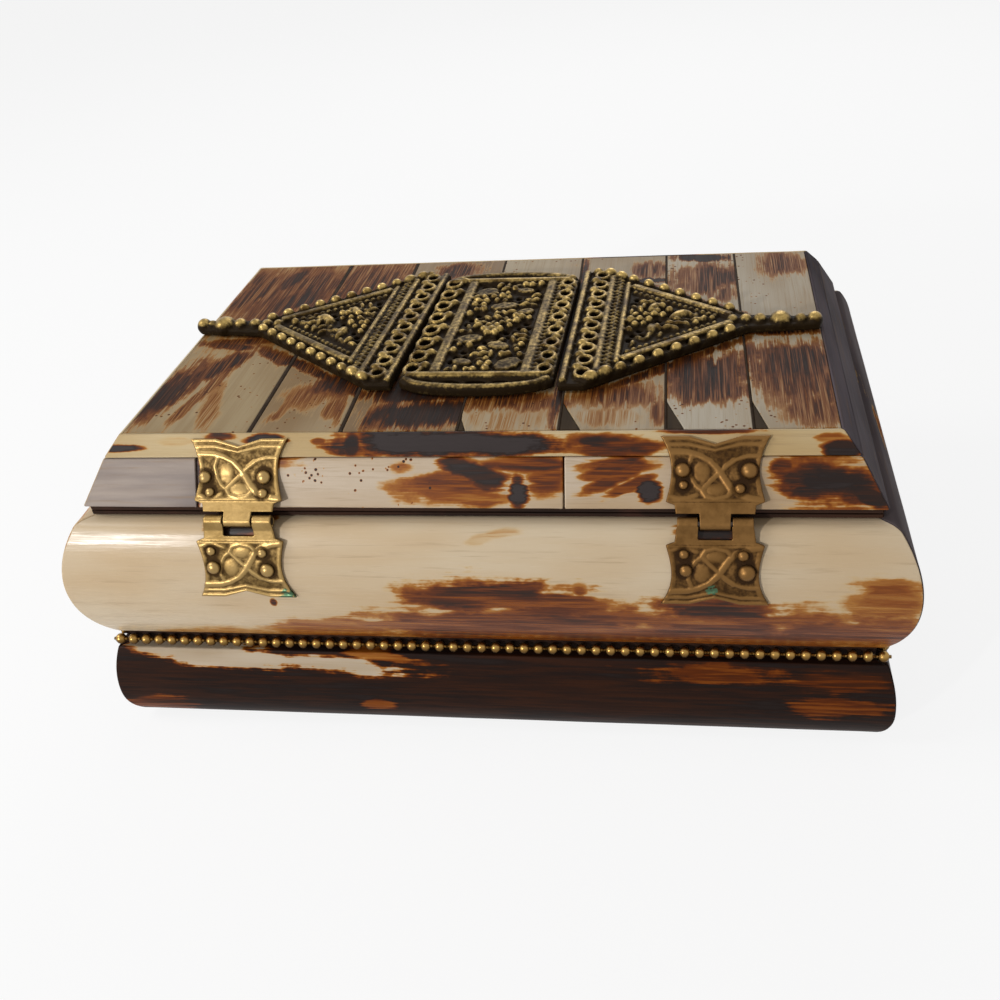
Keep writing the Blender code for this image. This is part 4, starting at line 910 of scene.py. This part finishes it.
def nail_heads(name, side, centre, line, spots, finish, body):
    """Round heads on a leaf, bright at the crown."""
    along, out, _, _ = side_lines[side]
    rings, facets, sunk = 5, 20, 0.1
    points, faces, shades = [], [], []
    for x, distance, radius in spots:
        place, normal = line(distance)
        normal = (out * normal.x + Vector((0, 0, normal.y))).normalized()
        foot = along * (x + centre) + out * place.x + Vector((0, 0, place.y)) - normal * sunk
        first, across, height = len(points), normal.cross(along), radius * 0.75 + sunk
        for ring in range(rings + 1):
            angle = math.pi / 2 * ring / rings
            for i in range(facets):
                turn = 2 * math.pi * i / facets
                spread = (along * math.cos(turn) + across * math.sin(turn)) * (radius * math.cos(angle))
                points.append(foot + spread + normal * (height * math.sin(angle)))
                shades.append(min(1.0, 0.15 + 0.35 * ring))
        faces += skin([range(first + ring * facets, first + (ring + 1) * facets) for ring in range(rings + 1)])
    put_piece(name, points, faces, finish, body, relief=shades)


def lid_leaf_kept(x, distance):
    return distance > 1.5 or abs(x) < knuckle


def base_leaf_kept(x, distance):
    return distance > 2.5 or abs(x) > knuckle + knuckle_gap


hinge_barrel = Vector((box_half - 3.8, rim_height + 1.0))
hinge_lines = {"upper": (lid_leaf_line(hinge_barrel, 1), lid_leaf_kept, "lid"),
               "lower": (base_leaf_line(hinge_barrel, 1), base_leaf_kept, "base")}
hinge_nails = {
    ("left", "upper"): ((-6.1, 7.5, 1.15), (4.6, 7.5, 1.3), (-5.1, 4.9, 0.85), (4.5, 4.7, 0.9)),
    ("right", "upper"): ((-5.2, 8.6, 1.3), (5.4, 8.5, 1.4), (-5.1, 6.2, 0.8), (3.9, 5.6, 0.9)),
    ("left", "lower"): ((-5.3, 8.3, 1.25), (4.5, 8.7, 1.3), (-5.4, 5.3, 0.85), (3.9, 5.6, 0.85)),
    ("right", "lower"): ((-4.7, 7.8, 1.1), (5.1, 8.1, 1.45), (-5.0, 5.0, 0.85), (4.5, 5.2, 0.95)),
}
for word, centre, slot, rise, tones, roughness, verdigris in (
        ("left", -39.5, "brass", 0.32, ((160, 132, 84), (130, 104, 60), (66, 47, 24)), 0.36, (-31.9, -50.2, 34.9, 2.6)),
        ("right", 41.7, "old_brass", 0.24, ((120, 88, 50), (92, 65, 34), (54, 36, 20)), 0.42,
         (41.2, -50.2, 37.9, 1.2))):
    finish = brass_finish("hinge_brass_" + word, *tones, roughness, "relief", (verdigris,))
    for half, (line, kept, body) in hinge_lines.items():
        name, nails = "hinge_%s_%s" % (word, half), hinge_nails[word, half]
        stamped_leaf(name, "back", centre, line, kept, finish, body, ("hinge_%s_%s_leaf" % (word, body),),
                     nails=nails, rise=rise)
        nail_heads(name + "_nails", "back", centre, line, nails, finish, body)


# The clasp at the front: a stamped leaf on the lid, a slotted hasp thrown back over it, and a brass wire staple
# in the body that the slot drops over.

clasp_barrel = Vector((box_half - 2.6, rim_height + 1.6))
clasp_brass = brass_finish("clasp_brass", (172, 142, 86), (140, 112, 62), (72, 51, 25), 0.32, "relief")
clasp_line = lid_leaf_line(clasp_barrel, -1)
clasp_nails = ((-5.4, 8.6, 0.95), (5.4, 8.6, 0.95))
stamped_leaf("clasp_leaf", "front", 0.0, clasp_line, lid_leaf_kept, clasp_brass, "lid", ("clasp_lid_leaf",),
             nails=clasp_nails, rise=0.2)
nail_heads("clasp_nails", "front", 0.0, clasp_line, clasp_nails, clasp_brass, "lid")


def hasp_line(distance):
    """Straight down from the barrel over the bulge, as the closed hasp lies."""
    to_barrel = clasp_barrel - bulge_middle
    reach = bulge_radius + leaf_offset + roll_radius
    turn = math.atan2(to_barrel.y, to_barrel.x) - math.acos(reach / to_barrel.length)
    if distance < 0:
        return roll_point(clasp_barrel, -1, turn, distance, -1)
    return clasp_barrel - heading(turn) * roll_radius + heading(turn - math.pi / 2) * distance, heading(turn)


def hasp_half_width(distance):
    if distance <= 3.4:
        return 6.1
    return 3.6 + 2.5 * math.sqrt(max(0.0, 1 - ((distance - 3.4) / 7.0) ** 3))


def hasp_metal(x, distance):
    if distance < 1.7:
        return abs(x) > knuckle + knuckle_gap
    return not (abs(x) < 1.2 and 3.4 < distance < 7.6)


def hasp_relief(x, distance, length, nails):
    """A low rim along the edge and another round the slot."""
    rim = max(ridge(abs(x) / hasp_half_width(distance) - 0.86, 0.07), ridge(length - distance - 0.8, 0.4))
    slot_edge = math.hypot(max(abs(x) - 1.2, 0.0), max(abs(distance - 5.5) - 2.1, 0.0))
    high = 0.6 * max(rim, ridge(slot_edge - 0.7, 0.4))
    return high, neck_shade + 0.4 * high


hasp_length, thrown_back = 10.4, math.radians(201.009)
stamped_leaf("clasp_hasp", "front", 0.0, hasp_line, hasp_metal, clasp_brass, "hasp", ("hasp",),
             hasp_half_width, hasp_length, hasp_relief, notch=0.0, turned=(Vector((0, *clasp_barrel)), thrown_back))
repaint(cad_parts["staple"].data, brass_finish("staple_brass", (164, 134, 76), (126, 98, 50), (56, 38, 18), 0.3))


# The ornament: three brass castings pinned side by side on the lid, an oblong one between two pointed ones.
# Pierced scrollwork, rows of beads, plain bars and turned beads at both tips; hollows dark with old polish and painted
# shade.

base, web = 60.8, 60.8 + 1.4


def add_ball(shape, x, y, z, radius, flat=1.0, stretch=1.0, turn=0.0):
    """A bead or boss."""
    size = Matrix.Diagonal((radius * stretch, radius, radius * flat, 1))
    placed = Matrix.Translation((x, y, z)) @ Matrix.Rotation(turn, 4, "Z") @ size
    bmesh.ops.create_uvsphere(shape, u_segments=14, v_segments=8, radius=1.0, matrix=placed)


def add_loops(shape, loops, closed=False):
    """A solid through loops of points."""
    loops = [[shape.verts.new(point) for point in loop] for loop in loops]
    for face in skin(loops, closed):
        shape.faces.new(face)


def add_ring(shape, x, y, z, radius, tube, stretch=1.0):
    """A round ring lying flat, stretched along y."""
    loops = []
    for angle in (math.pi * i / 8 for i in range(16)):
        across = Vector((math.cos(angle) * stretch, math.sin(angle), 0))
        loops.append([])
        for bend in (math.pi * j / 4 for j in range(8)):
            rise = Vector((0, 0, tube * 1.3 * math.sin(bend)))
            point = across * radius + across.normalized() * (tube * math.cos(bend)) + rise
            loops[-1].append(Matrix.Rotation(math.pi / 2, 3, "Z") @ point + Vector((x, y, z)))
    add_loops(shape, loops, closed=True)


def add_rod(shape, start, end, width, height, crest=0.45):
    """A bar with sloping sides and rounded ends, from start to end in the plan."""
    start, end = Vector((*start, 0)), Vector((*end, 0))
    run = (end - start).normalized()
    across, tip = run.cross(Vector((0, 0, 1))), run * width * 0.15
    section = [(-0.5, 0.0), (-0.48, 0.6), (-crest / 2 - 0.08, 0.92), (-crest / 2 + 0.1, 1.0)]
    section += [(-u, v) for u, v in reversed(section)]
    add_loops(shape, [[place + across * (u * width * grow) + Vector((0, 0, base + height * v * (0.8 + 0.2 * grow)))
                       for u, v in section]
                      for place, grow in ((start - tip, 0.7), (start, 1.0), (end, 1.0), (end + tip, 0.7))])


def add_row(shape, start, end, count, radius, z):
    """Small beads along a line."""
    for i in range(count):
        share = i / (count - 1)
        add_ball(shape, start[0] + (end[0] - start[0]) * share, start[1] + (end[1] - start[1]) * share, z, radius)


def add_petal(shape, x, y, length, width, turn, low, high):
    """A pointed leaf with a soft ridge, in its own plan direction."""
    along = Vector((math.cos(turn), math.sin(turn), 0))
    side = Vector((-along.y, along.x, 0))
    loops = []
    for scale, share in ((1.0, 0.0), (1.0, 0.45), (0.72, 0.8), (0.35, 1.0)):
        loops.append([])
        for angle in (2 * math.pi * i / 16 for i in range(16)):
            pointed = math.sin(angle) * abs(math.sin(angle)) ** 0.35
            loops[-1].append(Vector((x, y, low + (high - low) * share)) + along * (length / 2 * scale * math.cos(angle))
                             + side * (width / 2 * scale * pointed))
    add_loops(shape, loops)


def add_plate(shape, outline, high, holes=()):
    """A flat plate with holes through it."""
    flat = bmesh.new()
    for loop in [outline] + list(holes):
        corners = [flat.verts.new((x, y, base)) for x, y in loop]
        for first, second in zip(corners, corners[1:] + corners[:1]):
            flat.edges.new((first, second))
    bmesh.ops.triangle_fill(flat, use_beauty=True, use_dissolve=False, edges=flat.edges[:])
    raised = bmesh.ops.extrude_face_region(flat, geom=flat.faces[:])["geom"]
    bmesh.ops.translate(flat, verts=[v for v in raised if isinstance(v, bmesh.types.BMVert)], vec=(0, 0, high - base))
    bmesh.ops.recalc_face_normals(flat, faces=flat.faces)
    carrier = bpy.data.meshes.new("carrier")
    flat.to_mesh(carrier)
    flat.free()
    shape.from_mesh(carrier)
    bpy.data.meshes.remove(carrier)


def lozenge(x, y, half_x, half_y, lean):
    """A rounded four-cornered plan."""
    points = []
    for angle in (2 * math.pi * (i + 0.5) / 8 for i in range(8)):
        reach = 1.0 / max(abs(math.cos(angle)), abs(math.sin(angle))) ** 0.8
        dx, dy = half_x * math.cos(angle) * reach, half_y * math.sin(angle) * reach
        points.append((x + dx + dy * lean, y + dy))
    return points


def cast_piece(name, shape, stands_for, turn, lift_y):
    """Fuse the parts into one skin, soften it as a sand casting is, and lay it on the lid. Its relief is how far
    each spot stands over its surroundings, so that hollows are painted dark, for old dirt and for the shade that
    falls in them, and crests are rubbed bright."""
    mesh = bpy.data.meshes.new(name + "_parts")
    shape.to_mesh(mesh)
    shape.free()
    parts = add_object(name + "_parts", mesh)
    fuse = parts.modifiers.new("fuse", "REMESH")
    fuse.mode = "VOXEL"
    fuse.voxel_size = 0.25
    soften = parts.modifiers.new("soften", "SMOOTH")
    soften.factor = 0.5
    soften.iterations = 1
    made = bpy.data.meshes.new_from_object(parts.evaluated_get(bpy.context.evaluated_depsgraph_get()))
    bpy.data.objects.remove(parts)
    spots = np.empty(len(made.vertices) * 3)
    made.vertices.foreach_get("co", spots)
    spots = spots.reshape(-1, 3)
    cell_size, blur = 0.35, 2
    cells = ((spots[:, :2] - spots[:, :2].min(axis=0)) / cell_size).astype(int)
    size = cells.max(axis=0) + 1
    heaped = np.zeros((2, size[0] + 2 * blur, size[1] + 2 * blur))
    upper = spots[:, 2] > base + 0.7
    for layer, weight in enumerate((spots[upper, 2], np.ones(upper.sum()))):
        np.add.at(heaped[layer], (cells[upper, 0] + blur, cells[upper, 1] + blur), weight)
    shifts = range(2 * blur + 1)
    wide = sum(heaped[:, i:i + size[0], j:j + size[1]] for i in shifts for j in shifts)
    level = wide[0] / np.maximum(wide[1], 1)
    proud = spots[:, 2] - level[cells[:, 0], cells[:, 1]]
    # Hollows get painted shade over their dirt; the low walls and plate are painted dark all over as shade.
    rubbed_and_shaded = np.where(upper, np.clip(0.22 + 0.45 * proud + 0.34 * (spots[:, 2] - 62.9), 0, 1), 0.06)
    made.attributes.new("relief", "FLOAT", "POINT").data.foreach_set("value", rubbed_and_shaded.astype(np.float32))
    turned = Matrix.Translation((0, lift_y, 0)) @ Matrix.Rotation(math.radians(turn), 4, "Z")
    made.transform(Matrix.Diagonal((mm, mm, mm, 1)) @ turned)
    made.shade_smooth()
    repaint(made, cast_brass)
    hand_over(add_object(name, made), "lid", (stands_for,))


cast_brass = brass_finish("cast_brass", (178, 150, 90), (84, 64, 32), (34, 24, 11), 0.26, "relief")
grains = np.random.default_rng(7)


def oval(x, y, half_x, half_y):
    return [(x + half_x * math.cos(k * math.pi / 5), y + half_y * math.sin(k * math.pi / 5)) for k in range(10)]


def eyelets(shape, x, places, hole, ring, boss, boss_x, boss_y):
    """A column of rings, each with a boss beside it. Ring is (rise, radius, tube, stretch) and boss is (radius,
    flatness). It returns the rings' holes."""
    rise, radius, tube, stretch = ring
    for y in places:
        add_ring(shape, x, y, web + rise, radius, tube, stretch)
        add_ball(shape, boss_x, y + boss_y, web + 0.3, *boss)
    return [oval(x, y, *hole) for y in places]


def scrollwork(shape, low_x, high_x, low_y, high_y, room, mirror=1):
    """Small leaves and grains over a field where room says that there is space. It returns the holes between them."""
    holes = []
    pitch_x, pitch_y = 1.7, 1.95
    for row in range(int((high_y - low_y) / pitch_y)):
        for column in range(int((high_x - low_x) / pitch_x)):
            x = low_x + 0.9 + column * pitch_x + (row % 2) * 0.6
            y = low_y + 1.0 + row * pitch_y
            shift_x, shift_y, turn, high = (grains.uniform(-1, 1) for _ in range(4))
            if not room(x, y) or x > high_x - 0.7:
                continue
            kind = (row * 3 + column * 5) % 8
            if kind in (1, 6):
                holes.append(oval(mirror * x, y, 0.62, 0.8))
                continue
            x, y = mirror * (x + shift_x * 0.35), y + shift_y * 0.35
            if kind in (0, 3, 5):
                add_petal(shape, x, y, 2.9, 1.25, turn * math.pi / 2, base + 0.8, base + 2.4 + 0.35 * high)
            else:
                add_ball(shape, x, y, web + 0.25, 0.8 + 0.15 * high, 1.25)
    return holes


# the oblong middle one
shape = bmesh.new()
outline = []
for sign in (1, -1):
    for step in range(25):
        t = 1 - step / 12
        bow = 21.6 + 3.4 * math.sqrt(max(0.0, 1 - t * t)) + 0.3 * math.cos(t * 12)
        outline.append((sign * t * 14.15, sign * bow))
add_plate(shape, outline, base + 0.45)
holes = eyelets(shape, -12.2, (19.1, 13.7, 8.2, 2.7, -2.7, -8.2, -13.5, -18.5), (1.15, 1.6), (0.5, 1.45, 0.45, 1.3),
                (1.05, 1.0), -10.2, 1.6)
holes += eyelets(shape, 12.1, (18.8, 13.3, 7.9, 2.4, -3.1, -8.4, -13.7, -18.6), (0.95, 1.35), (0.45, 1.25, 0.42, 1.3),
                 (1.05, 0.95), 12.6, 2.5)
add_rod(shape, (-8.0, -19.4), (-8.0, 21.4), 2.3, 2.3, 0.7)
add_rod(shape, (8.7, -20.4), (8.7, 19.8), 2.1, 2.3, 0.7)
add_row(shape, (10.3, -19.6), (10.5, 19.0), 27, 0.55, base + 1.7)
for x in (-13.8, 13.85):
    add_rod(shape, (x, -20.3), (x, 20.3), 0.7, 1.9)
for sign in (-1, 1):
    add_rod(shape, (-12.6, sign * 20.6), (11.6, sign * 20.6), 1.6, 2.5, 0.6)
    rim = [(t * 13.1, sign * (21.2 + 3.3 * math.sqrt(max(0.0, 1 - t * t)))) for t in np.linspace(-1, 1, 15)]
    for first, second in zip(rim, rim[1:]):
        add_rod(shape, first, second, 1.7, 2.1, 0.6)
    for x, half_x in ((-8.8, 1.5), (-4.5, 1.9), (0.2, 2.0), (4.8, 1.8), (8.6, 1.2)):
        holes.append(oval(x, sign * 22.4, half_x, 0.8))
plates = ((-4.4, 15.1, 2.1, 1.9, 0.3), (0.4, 8.2, 2.7, 1.5, 0.4), (-4.0, -6.2, 2.5, 1.6, 0.3),
          (5.0, -16.4, 2.2, 2.4, 0.3), (5.2, 5.6, 1.5, 1.2, 0.2), (2.0, -9.0, 2.0, 1.5, -0.5),
          (-3.6, -15.5, 1.8, 1.2, -0.4), (3.6, 15.6, 1.8, 1.1, -0.3))
flower_x, flower_y = -0.3, -2.6
holes += scrollwork(shape, -6.8, 7.6, -19.6, 19.6, lambda x, y: math.hypot(x - flower_x, y - flower_y) > 2.8 and all(
    abs(x - p[0]) > p[2] + 0.4 or abs(y - p[1]) > p[3] + 0.4 for p in plates))
add_plate(shape, outline, web, holes)
for plate in plates:
    add_plate(shape, lozenge(*plate), base + 2.1)
for turn in (petal * math.pi / 3 for petal in range(6)):
    add_ball(shape, flower_x + 1.6 * math.cos(turn), flower_y + 1.6 * math.sin(turn), base + 1.8, 0.85, 1.3)
add_ball(shape, flower_x, flower_y, base + 2.0, 0.9)
cast_piece("ornament_middle", shape, "ornament_centre", -1.0, -0.6)

# the two pointed ones
outline = [(14.95, -24.4), (19.6, -24.4), (48.6, -2.7), (61.4, -1.6)]
outline += [(x, -y) for x, y in reversed(outline)]
slope = 21.7 / 29.0
for word, sign, turn, lift_y, pitch, last_balls, rod_end in (
        ("left", -1, -2.2, 0.4, 2.75, ((53.6, 1.7), (57.0, 2.6), (59.8, 1.3), (61.6, 1.7)), 61.8),
        ("right", 1, -0.8, 0.3, 3.2, ((54.2, 2.5), (57.9, 1.5), (60.4, 1.8)), 60.6)):
    shape = bmesh.new()
    plan = [(sign * x, y) for x, y in outline]
    add_plate(shape, plan, base + 0.45)
    holes = eyelets(shape, sign * 18.5 + 0.5, [(i - 4.5) * 4.7 for i in range(10)], (1.0, 1.25),
                    (0.45, 1.3, 0.42, 1.25), (1.1, 0.95), sign * 18.5 - 0.6, 2.2)
    for x, reach, width, height in ((15.7, 23.6, 1.5, 2.2), (21.3, 20.6, 1.5, 2.3), (24.7, 17.0, 1.3, 2.3)):
        add_rod(shape, (sign * x, -reach), (sign * x, reach), width, height, 0.6)
    for x, reach, count in ((22.7, 19.0, 27), (23.4, 18.3, 26)):
        add_row(shape, (sign * x, -reach), (sign * x, reach), count, 0.55, base + 1.7)
    for side in (-1, 1):
        lean = -sign * side * math.atan(slope)
        for i in range(int(22.4 / pitch) + 1):
            x = 25.6 + i * pitch
            y = side * (24.4 - (x - 19.6) * slope)
            add_ball(shape, sign * x, y - side * 0.9, web + 0.25, 1.05, 1.25, 1.2, lean)
            x += pitch / 2 + 0.5
            if x < 45.0:
                holes.append(oval(sign * x, side * (24.4 - (x - 19.6) * slope - 2.5), 0.75, 0.55))
        for x in (20.6, 23.0):
            add_ball(shape, sign * x, side * (23.2 - (x - 19.6) * slope), web + 0.25, 1.25, 1.15, 1.3, lean)
        add_rod(shape, (sign * 20.0, side * 23.4), (sign * 48.0, side * 2.4), 1.0, 1.7)
        add_rod(shape, (sign * 25.8, side * 15.6), (sign * 45.0, side * 1.7), 1.9, 2.3, 0.7)
        add_row(shape, (sign * 26.4, side * 12.8), (sign * 42.0, side * 1.6), 15, 0.6, base + 1.6)
    holes += scrollwork(shape, 25.4, 43.0, -12.6, 12.6, lambda x, y: abs(y) < (44.6 - x) * 13.2 / 18.6 - 2.0, sign)
    add_plate(shape, plan, web, holes)
    for x, y, length, width, degrees, high in ((35.4, 1.6, 6.4, 2.8, 40, 2.8), (30.4, -4.0, 5.0, 2.4, 100, 2.6),
                                               (30.4, 5.2, 5.0, 2.4, 60, 2.7), (39.0, -0.4, 4.0, 1.8, 0, 2.4)):
        add_petal(shape, sign * x, y, length, width, math.radians(degrees if sign > 0 else 180 - degrees), base + 0.3,
                  base + high)
    for x, radius in ((45.4, 1.4), (47.8, 1.5), (50.4, 1.6)) + last_balls:
        add_ball(shape, sign * x, 0.0, base + 1.2, radius, min(1.0, 1.95 / radius), 0.88)
    add_rod(shape, (sign * 45.6, 0), (sign * rod_end, 0), 3.0, 1.6, 0.5)
    cast_piece("ornament_side_" + word, shape, "ornament_" + word, turn, lift_y)
